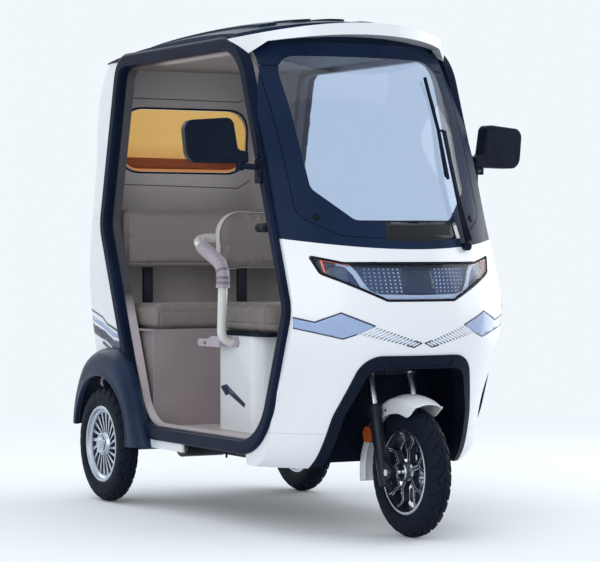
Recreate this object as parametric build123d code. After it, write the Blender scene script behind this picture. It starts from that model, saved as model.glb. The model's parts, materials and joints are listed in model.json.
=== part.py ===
from build123d import *
from math import atan2, cos, degrees, pi, radians, sin, tan
import os

os.makedirs("parts", exist_ok=True)

# Frame: +X forward, +Y to the vehicle's left, +Z up.
# The origin is on the ground under the middle of the length.
# All sizes are millimetres.

# Wheels and running gear
front_axle_x = 805.0
wheelbase = 1524.0
rear_track = 822.0
tyre_diameter = 430.0
tyre_width = 78.0
rim_diameter = 282.0
rim_lip = 9.0
front_spoke_count = 5
rear_blade_count = 20
running_gap = 0.3

# Steering
rake = 16.5
axle_lead = 47.0
fork_spread = 156.0
fork_tube_diameter = 30.0
fork_slider_diameter = 42.0
slider_top_z = 430.0
slider_low_z = 168.0
clamp_z = 545.0
head_tube_low = 640.0
head_tube_length = 130.0
stem_diameter = 30.0
front_axle_radius = 7.0
reflector_z = 345.0
reflector_diameter = 54.0
reflector_depth = 10.0
hub_half = 42.0
disc_diameter = 180.0
disc_thickness = 4.0
handlebar_z = 985.0

# Cabin
flank_y = 400.0
tail_corner = 110.0
panel_wall = 8.0
lining_wall = 6.0
glass_wall = 5.0
panel_gap = 0.7
roof_crown = 58.0
roof_wall = 12.0
roof_overlap = 4.0
roof_edge_z = 1668.0

# Cabin plan sections: height, nose at the centre line, nose at the flank, tail
cabin_sections = (
    (222.0, 724.0, 466.0, -845.0),
    (340.0, 800.0, 572.0, -884.0),
    (560.0, 868.0, 672.0, -948.0),
    (745.0, 886.0, 727.0, -1000.0),
    (900.0, 850.0, 684.0, -1012.0),
    (1045.0, 776.0, 624.0, -990.0),
    (1340.0, 640.0, 506.0, -940.0),
    (1500.0, 560.0, 418.0, -918.0),
    (1640.0, 480.0, 306.0, -828.0),
)

# Doorway corners: x, z, corner radius
doorway_corners = (
    (533.0, 255.0, 255.0),
    (724.0, 745.0, 110.0),
    (372.0, 1667.0, 215.0),
    (-650.0, 1667.0, 110.0),
    (-811.0, 1030.0, 150.0),
    (-477.0, 255.0, 220.0),
)
door_frame_width = 50.0
door_frame_depth = 34.0
door_frame_proud = 14.0
door_lip_width = 26.0
door_lip_step = 8.0
door_lip_depth = 30.0

# Rear body and fenders
rear_skirt_z = 300.0
side_skirt_z = 226.0
rear_seam_z = 1063.0
tail_seam_y = 315.0
ceiling_z = 1628.0
fender_outer_y = 453.0
fender_wall = 5.0
fender_toe = 2.5
fender_front_z = 226.0
fender_rear_z = 284.0

# Fender outline and its wheel opening: angle up from the front, gap beyond the tyre, corner radius
fender_outline = (
    (-2.0, 79.0, 0.0),
    (68.0, 134.0, 50.0),
    (92.0, 146.0, 80.0),
    (118.0, 152.0, 70.0),
    (176.0, 38.0, 0.0),
)
fender_arch = (
    (-6.0, 16.0, 0.0),
    (43.0, 45.0, 120.0),
    (88.0, 50.0, 130.0),
    (130.0, 72.0, 120.0),
    (178.0, 16.0, 0.0),
)

# Roof
roof_rib_count = 5
roof_rib_pitch = 132.0
roof_rib_width = 66.0
roof_rib_height = 9.0

# Under the cabin
frame_rail_y = 260.0
frame_rail_width = 30.0
spring_y = 245.0
spring_half = 118.0
post_diameter = 32.0
tunnel_back_x = 516.0
tunnel_wall = 5.0

# Nose features, seen from the front: y, z
fascia_top_centre_z = 943.0
fascia_top_side_z = 978.0
fascia_seam_z = 340.0
cover_start_x = 385.0
arch_outline = ((288.0, 195.0, 0.0), (261.0, 400.0, 200.0), (197.0, 598.0, 84.0))
arch_trim_width = 30.0
arch_trim_drop = 14.0
arch_trim_depth = 46.0
bezel_outline = ((60.0, 975.0, 60.0), (236.0, 985.0, 60.0), (352.0, 1050.0, 60.0), (366.0, 1560.0, 0.0))
bezel_groove = 3.0
glass_outline = ((182.0, 1038.0, 30.0), (294.0, 1142.0, 40.0), (314.0, 1592.0, 70.0))
lamp_outline = ((126.0, 772.0, 30.0), (322.0, 862.0, 22.0), (346.0, 926.0, 8.0), (250.0, 903.0, 30.0))
lamp_depth = 46.0

wiper_pivot = (216.0, 952.0)
wiper_knee = (236.0, 1345.0)
wiper_blade = ((229.0, 1530.0), (222.0, 1345.0), (212.0, 1180.0))

# Floor, seats
floor_z = 295.0
floor_wall = 14.0
bench_front_x = -450.0
bench_half_width = 346.0
bench_top_z = 650.0
bench_cushion_height = 88.0
bench_cushion_length = 320.0
bench_back_low_z = 862.0
bench_back_high_z = 1106.0
bench_back_front_x = -755.0
bench_back_depth = 62.0
seat_box_rear_x = -272.0
seat_box_length = 342.0
seat_box_half_width = 188.0
seat_box_top_z = 636.0
seat_pan_height = 14.0
seat_cushion_height = 98.0
seat_back_low_z = 868.0
seat_back_high_z = 1088.0
seat_back_depth = 66.0
seat_back_front_x = -272.0
rail_diameter = 34.0
rail_grip_diameter = 46.0
rail_plate = 8.0
rail_foot_x = -112.0
rail_foot_z = 612.0
rail_out_y = 240.0
rail_elbow_z = 885.0
rail_back_z = 985.0
seat_back_half = 165.0
bench_rear_x = -838.0

# Dashboard and mirrors
dash_rear_x = 650.0
dash_half = 290.0
dash_low_z = 930.0
dash_high_z = 1020.0
mirror_x = 524.0
mirror_z = 1200.0
mirror_toe = 10.5
mirror_inner_x = 473.0
mirror_inner_y = 476.0
mirror_depth = 46.0

# Mirror shell: outwards from its inner edge, height above the ground, corner radius
mirror_outline = (
    (-38.0, 1228.0, 6.0),
    (-38.0, 1264.0, 6.0),
    (-2.0, 1272.0, 14.0),
    (16.0, 1378.0, 26.0),
    (184.0, 1366.0, 32.0),
    (170.0, 1227.0, 42.0),
)


def flat(outline, closed=True):
    """A face from (u, v, corner radius) rows."""
    points = [(u, v) for u, v, _ in outline]
    radii = [r for _, _, r in outline]
    return make_face(FilletPolyline(*points, radius=radii, close=closed))


def from_side(face, y_low, y_high):
    """A face drawn in (x, z), extruded across the width."""
    plane = Plane(origin=(0, y_high, 0), x_dir=(1, 0, 0), z_dir=(0, -1, 0))
    return extrude(plane * face, amount=y_high - y_low)


def from_front(face, x_low, x_high):
    """A face drawn in (y, z), extruded along the length."""
    plane = Plane(origin=(x_low, 0, 0), x_dir=(0, 1, 0), z_dir=(1, 0, 0))
    return extrude(plane * face, amount=x_high - x_low)


def from_top(face, z_low, z_high):
    """A face drawn in (x, y), extruded upwards."""
    return extrude(Plane.XY.offset(z_low) * face, amount=z_high - z_low)


def block(x_low, x_high, y_low, y_high, z_low, z_high):
    size = (x_high - x_low, y_high - y_low, z_high - z_low)
    centre = ((x_low + x_high) / 2, (y_low + y_high) / 2, (z_low + z_high) / 2)
    return Pos(*centre) * Box(*size)


def across(x, z, radius, y_low, y_high):
    """A cylinder along Y."""
    return Pos(x, (y_low + y_high) / 2, z) * Rot(90, 0, 0) * Cylinder(radius, y_high - y_low)


def rod(start, end, radius):
    """A round bar between two points."""
    a, b = Vector(*start), Vector(*end)
    plane = Plane(origin=a, z_dir=(b - a).normalized())
    return extrude(plane * Circle(radius), amount=(b - a).length)


def pipe(points, radii, radius):
    path = FilletPolyline(*points, radius=radii)
    start = Plane(origin=path @ 0, z_dir=path % 0)
    return sweep(start * Circle(radius), path=path)


def both(solid):
    """A solid and its mirror image across the middle plane."""
    return [solid, mirror(solid, about=Plane.XZ)]


def symmetric(half_outline):
    """A closed front outline from its right half, rows (y, z, radius) from the bottom up."""
    left = [(-y, z, r) for y, z, r in reversed(half_outline)]
    return flat(list(half_outline) + left)


nodes = {}


def keep(name, shape):
    nodes[name] = shape


# The cabin's outer skin, moved inwards by an inset
def cabin_face(row, inset):
    z, nose, shoulder, tail = row
    half = flank_y - inset
    corner = tail_corner - inset
    nose, shoulder, tail = nose - inset, shoulder - inset, tail + inset
    bend = corner * (1 - cos(pi / 4))
    edges = [
        Line((tail, half - corner), (tail, corner - half)),
        ThreePointArc((tail, corner - half), (tail + bend, bend - half), (tail + corner, -half)),
        Line((tail + corner, -half), (shoulder, -half)),
        ThreePointArc((shoulder, -half), (nose, 0), (shoulder, half)),
        Line((shoulder, half), (tail + corner, half)),
        ThreePointArc((tail + corner, half), (tail + bend, half - bend), (tail, half - corner)),
    ]
    return Plane.XY.offset(z) * make_face(Wire(edges))


def cabin(inset, reach=0.0):
    """The cabin's form at an inset; reach carries the ends past the outer skin's, for a clean cut."""
    rows = [list(row) for row in cabin_sections]
    rows[0][0] -= reach
    rows[-1][0] += reach
    return loft([cabin_face(row, inset) for row in rows])


cabin_outer = cabin(0)
cabin_shell = cabin_outer - cabin(panel_wall, 1)
cabin_inside_glass = cabin(1)
glass_shell = cabin_inside_glass - cabin(1 + glass_wall, 1)
doorway_face = flat(doorway_corners)
doorway_clear = from_side(offset(doorway_face, panel_gap), -flank_y - 60, flank_y + 60)

bottom_z = cabin_sections[0][0]
top_z = cabin_sections[-1][0]
nose_x = max(row[1] for row in cabin_sections)
tail_x = min(row[3] for row in cabin_sections)

# Front panels
sill_cut = flat(
    (
        (0.0, 1000.0, 0.0),
        (0.0, 0.0, 0.0),
        (cover_start_x + 70, 0.0, 0.0),
        (cover_start_x, 290.0, 40.0),
        (cover_start_x, 1000.0, 0.0),
    )
)
front_shell = (cabin_shell & block(100, nose_x + 50, -flank_y, flank_y, bottom_z, top_z)) - doorway_clear
front_shell -= from_side(sill_cut, -flank_y - 5, flank_y + 5)


def below_fascia_top(gap):
    """The space under the line where the fascia meets the windscreen frame."""
    face = make_face(
        Wire(
            [
                ThreePointArc(
                    (-flank_y - 5, fascia_top_side_z - gap),
                    (0, fascia_top_centre_z - gap),
                    (flank_y + 5, fascia_top_side_z - gap),
                ),
                Line((flank_y + 5, fascia_top_side_z - gap), (flank_y + 5, bottom_z - 10)),
                Line((flank_y + 5, bottom_z - 10), (-flank_y - 5, bottom_z - 10)),
                Line((-flank_y - 5, bottom_z - 10), (-flank_y - 5, fascia_top_side_z - gap)),
            ]
        )
    )
    return from_front(face, 0, nose_x + 50)


def arch_face(inset, drop=0.0):
    """The wheel arch from the front, its sides moved in by inset and its top down by inset and drop."""
    foot, waist, top = arch_outline
    rows = [
        (foot[0] - inset, foot[1], 0.0),
        (waist[0] - inset, waist[1], waist[2]),
        (top[0] - inset * 0.8, top[1] - inset - drop, max(top[2] - inset, 8)),
    ]
    return symmetric(rows)


arch_cut = from_front(arch_face(0), 300, nose_x + 50)
lamp_face = symmetric(lamp_outline)
lamp_cut = from_front(lamp_face, 500, nose_x + 50)
lower_band = front_shell & below_fascia_top(0)
fascia = (lower_band & block(0, 1000, -500, 500, fascia_seam_z + panel_gap / 2, 1100)) - arch_cut - lamp_cut
keep("front_fascia", fascia)
lower_cover = (front_shell & block(0, 1000, -500, 500, 0, fascia_seam_z - panel_gap / 2)) - arch_cut
keep("front_lower_covers", lower_cover)

# Black trim that lines the wheel arch
trim_zone = cabin(-6) - cabin(arch_trim_depth, 1)
trim_ring = from_front(arch_face(panel_gap), 300, nose_x + 50) - from_front(
    arch_face(arch_trim_width, arch_trim_drop), 200, nose_x + 60
)
arch_trim = (trim_zone & trim_ring) & block(350, 1000, -400, 400, bottom_z + 5, 700)
keep("arch_trim", arch_trim)

# Head lamp bar: a clear lens flush with the fascia and a housing behind it
lamp_gap_face = offset(lamp_face, -panel_gap)
lens = glass_shell & from_front(lamp_gap_face, 500, nose_x + 50)
keep("headlamp_lens", lens)
housing = (cabin(glass_wall + 1.3) - cabin(lamp_depth, 1)) & from_front(lamp_gap_face, 450, nose_x + 50)
housing -= (cabin_outer - cabin(lamp_depth - 4, 1)) & from_front(offset(lamp_face, -6), 450, nose_x + 60)
keep("headlamp_housing", housing)

# Windscreen and its frame
glass_face = symmetric(glass_outline)
screen_band = front_shell - below_fascia_top(-panel_gap)
screen_frame = screen_band - from_front(glass_face, 200, nose_x + 50)
bezel_face = symmetric(bezel_outline)
bezel_inner = offset(bezel_face, -bezel_groove)
bezel_line = from_front(bezel_face, 200, nose_x + 50) - from_front(bezel_inner, 200, nose_x + 50)
screen_frame -= (cabin(-1) - cabin(bezel_groove)) & bezel_line
keep("windscreen_frame", screen_frame)
glass = glass_shell & from_front(offset(glass_face, -panel_gap), 200, nose_x + 50)
keep("windscreen_glass", glass)

# Door frames, and the pale lining inside each doorway
def door_frame(side):
    out = flank_y + door_frame_proud
    back = door_frame_depth - out
    ring = from_side(doorway_face, -out, back)
    ring -= from_side(offset(doorway_face, -door_frame_width), -out - 5, back + 5)
    ring = fillet(ring.faces().sort_by(Axis.Y)[0].edges(), 12)
    return ring if side < 0 else mirror(ring, about=Plane.XZ)


def door_lining(side):
    back = door_frame_depth - flank_y - door_frame_proud
    lip = from_side(offset(doorway_face, door_lip_width - door_frame_width), back, back + door_lip_depth)
    lip_inner = offset(doorway_face, -door_frame_width - door_lip_step)
    lip -= from_side(lip_inner, back - 5, back + door_lip_depth + 5)
    return lip if side < 0 else mirror(lip, about=Plane.XZ)


for side, word in ((-1, "right"), (1, "left")):
    keep(f"door_frame_{word}", door_frame(side))
    keep(f"door_lining_{word}", door_lining(side))
inner_y = flank_y + door_frame_proud - door_frame_depth - door_lip_depth

# Rear body: an upper ring round the window, a tail panel below it and two quarter panels over the wheels
rear_axle_x = front_axle_x - wheelbase
axle_z = tyre_diameter / 2
rear_wheel_y = rear_track / 2
window_face = symmetric(((270.0, 1246.0, 88.0), (270.0, 1486.0, 88.0)))
tail_lamp_face = flat(
    ((262.0, 652.0, 14.0), (368.0, 652.0, 14.0), (368.0, 812.0, 14.0), (300.0, 812.0, 14.0))
)
wheel_room = tyre_diameter / 2 + 40


def wheel_space(radius, y_low, y_high):
    """The room over a rear wheel, open downwards."""
    space = across(rear_axle_x, axle_z, radius, y_low, y_high)
    return space + block(rear_axle_x - radius, rear_axle_x + radius, y_low, y_high, 0, axle_z)


housing_inner_y = rear_wheel_y - tyre_width / 2 - 32
rear_room = tail_x - 60, tail_x + 300
rear_shell = cabin_shell & block(tail_x - 50, -100, -flank_y, flank_y, bottom_z, top_z)
rear_shell -= doorway_clear
rear_shell -= both(wheel_space(wheel_room, housing_inner_y, 500))
rear_shell -= block(tail_x - 50, rear_axle_x, -500, 500, 0, rear_skirt_z)
rear_shell -= block(rear_axle_x, 0, -500, 500, 0, side_skirt_z)
rear_shell -= from_front(window_face, *rear_room)
rear_shell -= both(from_front(tail_lamp_face, *rear_room))
seam_low = rear_seam_z - panel_gap / 2
seam_high = rear_seam_z + panel_gap / 2
upper_ring = rear_shell & block(tail_x - 50, 0, -500, 500, seam_high, top_z)
lower_ring = rear_shell & block(tail_x - 50, 0, -500, 500, 0, seam_low)
tail_half = tail_seam_y - panel_gap / 2
tail_panel = lower_ring & block(tail_x - 50, 0, -tail_half, tail_half, 0, seam_low)
quarters = both(lower_ring & block(tail_x - 50, 0, -500, -tail_half - panel_gap, 0, seam_low))
keep("rear_body", Compound(children=[upper_ring, tail_panel, *quarters]))
keep("rear_window", glass_shell & from_front(offset(window_face, -panel_gap), *rear_room))
lamp_solid = glass_shell & from_front(offset(tail_lamp_face, -panel_gap), *rear_room)
keep("tail_lamps", Compound(children=both(lamp_solid)))
bumper_half = housing_inner_y - 8
bumper_top = rear_skirt_z - panel_gap
bumper = cabin_shell & block(tail_x, -600, -bumper_half, bumper_half, rear_skirt_z - 64, bumper_top)
keep("rear_bumper", bumper)

# Lining on the rear wall and corners, above the bench
cabin_lined = cabin(panel_wall + 0.4)
lining_zone = cabin_lined - cabin(panel_wall + 0.4 + lining_wall, 1)
lining = lining_zone & block(tail_x, -100, -flank_y, flank_y, bench_top_z + panel_gap, ceiling_z - panel_gap)
lining -= from_side(offset(doorway_face, panel_gap), -flank_y - 60, flank_y + 60)
lining -= from_front(window_face, *rear_room)
keep("rear_lining", lining)

# Inner wheel housings at the rear
housing_outer_y = flank_y - panel_wall - 0.4
wheel_housing = wheel_space(wheel_room - 0.4, housing_inner_y, housing_outer_y)
wheel_housing -= wheel_space(wheel_room - 6, housing_inner_y + 6, housing_outer_y + 10)
wheel_housing -= block(-1100, 0, -500, 500, -100, rear_skirt_z)
wheel_housing = (wheel_housing & cabin_lined) - doorway_clear
keep("rear_wheel_housings", Compound(children=both(wheel_housing)))

# Rear fenders: mouldings outside the flanks, toed out a little towards the front
def around_tyre(rows):
    """An outline about the rear axle, from its angle, its gap beyond the tyre and its corner radius."""
    points = []
    for angle, gap, radius in rows:
        reach = tyre_diameter / 2 + gap
        points.append((reach * cos(radians(angle)), reach * sin(radians(angle)) + axle_z, radius))
    return flat(points)


fender_face = around_tyre(fender_outline)
fender_opening = around_tyre(fender_arch)


def fender(side):
    depth = fender_outer_y - flank_y + 110
    moulding = from_side(fender_face, 0, depth)
    moulding = fillet(moulding.faces().sort_by(Axis.Y)[0].edges(), 13)
    moulding -= from_side(offset(fender_face, -fender_wall), fender_wall, depth + 1)
    moulding -= from_side(fender_opening, -5, fender_wall + 5)
    moulding = Pos(rear_axle_x, -fender_outer_y, 0) * Rot(0, 0, -fender_toe) * moulding
    moulding -= block(-1200, 0, -600, 0, 0, fender_front_z)
    moulding -= block(-1200, rear_axle_x, -600, 0, 0, fender_rear_z)
    moulding -= cabin(-0.4, 30)
    moulding -= from_side(offset(doorway_face, panel_gap), -flank_y - door_frame_proud - 0.4, 0)
    moulding -= block(-1200, 0, -panel_wall - 290, 0, 0, 700)
    moulding = max(moulding.solids(), key=lambda solid: solid.volume)
    return moulding if side < 0 else mirror(moulding, about=Plane.XZ)


keep("fender_right", fender(-1))
keep("fender_left", fender(1))

# Roof with moulded ribs
roof_half = flank_y + roof_overlap
roof_sections = ((-880.0, -52.0), (-560.0, -6.0), (-100.0, 12.0), (300.0, 4.0), (470.0, -14.0))


def roof_form(lower, rise=0.0, reach=0.0):
    faces = []
    for i, (x, drop) in enumerate(roof_sections):
        x += reach * ((i == len(roof_sections) - 1) - (i == 0))
        half = roof_half - lower
        edge = roof_edge_z + drop - lower + rise
        low = roof_edge_z - 70
        crown = ThreePointArc((half, edge), (0, edge + roof_crown), (-half, edge))
        wire = Wire([Line((-half, low), (half, low)), Line((half, low), (half, edge)), crown,
                     Line((-half, edge), (-half, low))])
        faces.append(Plane(origin=(x, 0, 0), x_dir=(0, 1, 0), z_dir=(1, 0, 0)) * make_face(wire))
    return loft(faces)


roof_plan = make_face(
    Wire(
        [
            Line((-862, roof_half - 114), (-862, 114 - roof_half)),
            ThreePointArc((-862, 114 - roof_half), (-826, 36 - roof_half), (-742, -roof_half)),
            Line((-742, -roof_half), (340, -roof_half)),
            ThreePointArc((340, -roof_half), (452, 0), (340, roof_half)),
            Line((340, roof_half), (-742, roof_half)),
            ThreePointArc((-742, roof_half), (-826, roof_half - 36), (-862, roof_half - 114)),
        ]
    )
)
roof_body = roof_form(0)
rib_zone = roof_form(0, roof_rib_height) - roof_form(0, -1, 1)
for i in range(roof_rib_count):
    rib_y = (i - (roof_rib_count - 1) / 2) * roof_rib_pitch
    roof_body += rib_zone & from_top(Pos(-160, rib_y) * SlotOverall(960, roof_rib_width), 1600, 1800)
roof_body = roof_body & from_top(roof_plan, top_z + panel_gap, 1850)
roof_skin = roof_body - (roof_form(roof_wall, 0, 1) & from_top(offset(roof_plan, -roof_wall), 1500, 1850))
keep("roof", roof_skin - doorway_clear)

# Ceiling panel
ceiling = cabin_lined & block(tail_x, nose_x, -inner_y, inner_y, ceiling_z, ceiling_z + lining_wall)
keep("ceiling", ceiling)

# Sun visor over the windscreen
visor_plan = make_face(
    Wire(
        [
            ThreePointArc((322, -424), (562, 0), (322, 424)),
            Line((322, 424), (250, 424)),
            Line((250, 424), (250, -424)),
            Line((250, -424), (322, -424)),
        ]
    )
)
visor_front = make_face(
    Wire(
        [
            ThreePointArc((-424, 1652), (0, 1704), (424, 1652)),
            Line((424, 1652), (424, 1626)),
            Line((424, 1626), (388, 1596)),
            Line((388, 1596), (336, 1640)),
            ThreePointArc((336, 1640), (0, 1664), (-336, 1640)),
            Line((-336, 1640), (-388, 1596)),
            Line((-388, 1596), (-424, 1626)),
            Line((-424, 1626), (-424, 1652)),
        ]
    )
)
visor = from_top(visor_plan, 1580, 1720) & from_front(visor_front, 240, 600)
visor -= cabin_outer
visor -= from_top(offset(roof_plan, 0.3), 1600, 1800)
visor -= doorway_clear
keep("visor", max(visor.solids(), key=lambda s: s.volume))

# Chassis: two rails that kick up over the rear axle, cross members and the steering head
rail_outline = (
    (-838.0, 322.0, 0.0),
    (-557.0, 322.0, 30.0),
    (-462.0, 231.0, 30.0),
    (505.0, 231.0, 0.0),
    (505.0, 281.0, 0.0),
    (-474.0, 281.0, 30.0),
    (-569.0, 372.0, 30.0),
    (-838.0, 372.0, 0.0),
)
frame_rail = from_side(flat(rail_outline), frame_rail_y - frame_rail_width, frame_rail_y)
chassis = frame_rail + mirror(frame_rail, about=Plane.XZ)
for x, z in ((-815.0, 347.0), (-575.0, 347.0), (-330.0, 256.0), (160.0, 256.0), (480.0, 256.0)):
    cross_half = frame_rail_y - frame_rail_width
    chassis += block(x - 20, x + 20, -cross_half, cross_half, z - 20, z + 20)

rake_out = tan(radians(rake))
axis_foot = Vector(front_axle_x - axle_lead, 0, axle_z)
axis_up = Vector(-sin(radians(rake)), 0, cos(radians(rake)))


def on_axis(z, forward=0.0):
    """The place on the steering axis at a height, with Z up the axis and X square to it, forwards."""
    origin = axis_foot + axis_up * ((z - axis_foot.Z) / axis_up.Z)
    square = (cos(radians(rake)), 0, sin(radians(rake)))
    return Plane(origin=origin, x_dir=square, z_dir=axis_up) * Pos(forward, 0, 0)


def along_axis(z, length, radius, bore=0.0):
    """A round piece on the steering axis, from a height upwards."""
    piece = on_axis(z) * Pos(0, 0, length / 2) * Cylinder(radius, length)
    if bore:
        piece -= on_axis(z) * Pos(0, 0, length / 2) * Cylinder(bore, length + 2)
    return piece


head_tube = along_axis(head_tube_low, head_tube_length, 26, stem_diameter / 2 + running_gap)
head_centre = on_axis(head_tube_low + 60).position
post_x = tunnel_back_x - post_diameter / 2 - 8
post_foot = (post_x, frame_rail_y - frame_rail_width / 2, 270.0)
post_knee = (post_x, 62.0, 650.0)
post_head = (head_centre.X - 20, 18.0, head_centre.Z)
chassis += both(pipe((post_foot, post_knee, post_head), [40.0], post_diameter / 2))
chassis -= along_axis(head_tube_low - 40, head_tube_length + 80, 25)
chassis += head_tube
keep("chassis", chassis)

# Floor and bulkheads
floor = block(bench_front_x - 8, tunnel_back_x - 0.3, -inner_y, inner_y, floor_z - floor_wall, floor_z)
floor -= both(rod(post_foot, post_knee, post_diameter / 2 + running_gap))
keep("floor", floor)
tunnel_outer = arch_face(panel_gap)
tunnel_inner = arch_face(panel_gap + tunnel_wall)
tunnel_room = from_front(tunnel_outer, tunnel_back_x, nose_x) & block(0, 1000, -500, 500, bottom_z + 6, 700)
tunnel = tunnel_room & cabin(arch_trim_depth + 0.4)
tunnel -= from_front(tunnel_inner, tunnel_back_x + tunnel_wall, nose_x + 10)
tunnel -= along_axis(450, 250, 34)
keep("wheel_tunnel", tunnel)

# Battery box between the rails, held by two cross members
battery_half = frame_rail_y - frame_rail_width - 0.2
battery_low = rail_outline[3][1] - 18
battery_top = rail_outline[3][1] + 45
keep("battery_box", block(-309.8, 139.8, -battery_half, battery_half, battery_low, battery_top))

# Rear axle with its drive unit, leaf springs and dampers
hub_face_y = rear_wheel_y - tyre_width / 2 + 12
axle = across(rear_axle_x, axle_z, 28, -housing_inner_y + 14, housing_inner_y - 14)
axle += across(rear_axle_x, axle_z, 62, -110, 60)
axle += across(rear_axle_x, axle_z, 45, 60, 150)
axle += both(across(rear_axle_x, axle_z, 44, housing_inner_y - 22, housing_inner_y - 8))
axle += both(across(rear_axle_x, axle_z, 11, housing_inner_y - 22, rear_wheel_y + 8))
for y in (-1, 1):
    centre_y = y * spring_y
    axle += block(rear_axle_x - 45, rear_axle_x + 45, centre_y - 28, centre_y + 28, axle_z + 10, axle_z + 38)
keep("rear_axle", axle)


def leaf_spring(y):
    base = axle_z + 38.3
    spring = block(rear_axle_x - 60, rear_axle_x + 60, y - 25, y + 25, base, base + 14)
    for half, level in ((spring_half, 1), (spring_half - 40, 0)):
        low = base + 7 * level
        spring += block(rear_axle_x - half, rear_axle_x + half, y - 25, y + 25, low, low + 7)
    for x in (rear_axle_x - spring_half + 10, rear_axle_x + spring_half - 10):
        spring += block(x - 9, x + 9, y - 20, y + 20, base + 10, rail_outline[0][1] - 0.3)
    return spring


keep("leaf_springs", Compound(children=[leaf_spring(-spring_y), leaf_spring(spring_y)]))

# Rear bench
bench_face_low = floor_z + 0.3
bench = block(bench_front_x - 8, bench_front_x, -inner_y + 1, inner_y - 1, bench_face_low, bench_top_z)
bench += block(bench_rear_x, bench_front_x, -inner_y + 1, inner_y - 1, bench_top_z - 8, bench_top_z)
bench += block(bench_rear_x, bench_rear_x + 8, -280, 280, 372, bench_top_z - 8)
bench_side = housing_inner_y - 6
bench += both(block(bench_rear_x, bench_front_x, bench_side - 6, bench_side, 372.3, bench_top_z - 8))
keep("bench_base", bench)
cushion_low = bench_top_z + 0.3
cushion = block(
    bench_front_x - bench_cushion_length,
    bench_front_x - 2,
    -bench_half_width,
    bench_half_width,
    cushion_low,
    cushion_low + bench_cushion_height,
)
keep("bench_cushion", fillet(cushion.edges(), 18))
bench_back = block(
    bench_back_front_x - bench_back_depth,
    bench_back_front_x,
    -bench_half_width,
    bench_half_width,
    bench_back_low_z,
    bench_back_high_z,
)
keep("bench_backrest", fillet(bench_back.edges(), 18))
post_front = bench_back_front_x - bench_back_depth - 0.3
post_top = bench_back_high_z - 60
posts = [block(post_front - 16, post_front, y - 19, y + 19, bench_top_z, post_top) for y in (-202, 202)]
keep("bench_back_posts", Compound(children=posts))

# Driver's seat on its box
seat_front_x = seat_box_rear_x + seat_box_length
seat_half = seat_box_half_width


def seat_slab(x_low, x_high, half, radius, z_low, z_high):
    centre = Pos((x_low + x_high) / 2, 0)
    return from_top(centre * RectangleRounded(x_high - x_low, 2 * half, radius), z_low, z_high)


seat_box = seat_slab(seat_box_rear_x, seat_front_x, seat_half, 58, floor_z, seat_box_top_z)
seat_box -= seat_slab(
    seat_box_rear_x + 6, seat_front_x - 6, seat_half - 6, 52, floor_z - 1, seat_box_top_z - 6
)
keep("seat_box", seat_box)
pan_top = seat_box_top_z + seat_pan_height
pan = seat_slab(seat_box_rear_x - 6, seat_front_x + 50, seat_half + 4, 40, seat_box_top_z, pan_top)
keep("seat_pan", pan)
pad_top = pan_top + seat_cushion_height
seat_pad = seat_slab(seat_box_rear_x + 18, seat_front_x + 74, seat_half + 2, 60, pan_top + 0.3, pad_top)
pad_edges = seat_pad.faces().sort_by(Axis.Z)[-1].edges()
keep("seat_cushion", fillet(pad_edges, 24))
back_face = flat(
    (
        (-seat_back_half, seat_back_low_z, 30.0),
        (seat_back_half, seat_back_low_z, 30.0),
        (seat_back_half, seat_back_high_z, 92.0),
        (-seat_back_half, seat_back_high_z, 92.0),
    )
)
seat_back = from_front(back_face, seat_back_front_x - seat_back_depth, seat_back_front_x)
keep("seat_backrest", fillet(seat_back.faces().sort_by(Axis.X)[-1].edges(), 20))

# Tube handrail that rises on both sides of the seat and carries the backrest
rail_back_x = seat_back_front_x - seat_back_depth - rail_diameter / 2 - 0.3
rail_foot_y = seat_half + rail_plate + 0.3
rail_half = (
    (rail_foot_x, rail_foot_y, rail_foot_z, 0.0),
    (rail_foot_x, rail_out_y, rail_foot_z, 40.0),
    (rail_foot_x + 16, rail_out_y, rail_elbow_z, 66.0),
    (rail_back_x, rail_out_y, rail_back_z, 74.0),
)
rail_points = [(x, -y, z) for x, y, z, _ in rail_half] + [(x, y, z) for x, y, z, _ in reversed(rail_half)]
rail_radii = [r for *_, r in rail_half[1:]] + [r for *_, r in reversed(rail_half[1:])]
keep("handrail", pipe(rail_points, rail_radii, rail_diameter / 2))


def rail_grip(side):
    low, elbow, back = [Vector(x, side * y, z) for x, y, z, _ in rail_half[1:]]
    start = elbow + (low - elbow).normalized() * 78
    end = elbow + (back - elbow).normalized() * 190
    path = FilletPolyline(tuple(start), tuple(elbow), tuple(end), radius=66.0)
    plane = Plane(origin=path @ 0, z_dir=path % 0)
    sleeve = sweep(plane * (Circle(rail_grip_diameter / 2) - Circle(rail_diameter / 2)), path=path)
    return sleeve


keep("handrail_grips", Compound(children=[rail_grip(-1), rail_grip(1)]))


def rail_bracket(side):
    plate = Pos((rail_foot_x - 45), 0) * SlotOverall(170, 36)
    plate -= Pos(rail_foot_x - 108, 0) * Circle(7)
    plane = Plane(origin=(0, -seat_half, rail_foot_z), x_dir=(1, 0, 0), z_dir=(0, -1, 0))
    bracket = extrude(plane * plate, amount=rail_plate)
    return bracket if side < 0 else mirror(bracket, about=Plane.XZ)


keep("handrail_brackets", Compound(children=[rail_bracket(-1), rail_bracket(1)]))

# Wiper parked upright in front of the glass: y, z, stand-off from the skin
def screen_point(y, z, off):
    """A point off the windscreen's outer skin, from the two cabin sections that the height lies between."""
    for low, high in zip(cabin_sections, cabin_sections[1:]):
        if low[0] <= z <= high[0]:
            t = (z - low[0]) / (high[0] - low[0])
            nose = low[1] + (high[1] - low[1]) * t
            shoulder = low[2] + (high[2] - low[2]) * t
            sag = nose - shoulder
            bow = (flank_y**2 + sag**2) / (2 * sag)
            return nose - bow + (bow**2 - y**2) ** 0.5 + off, y, z


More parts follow.
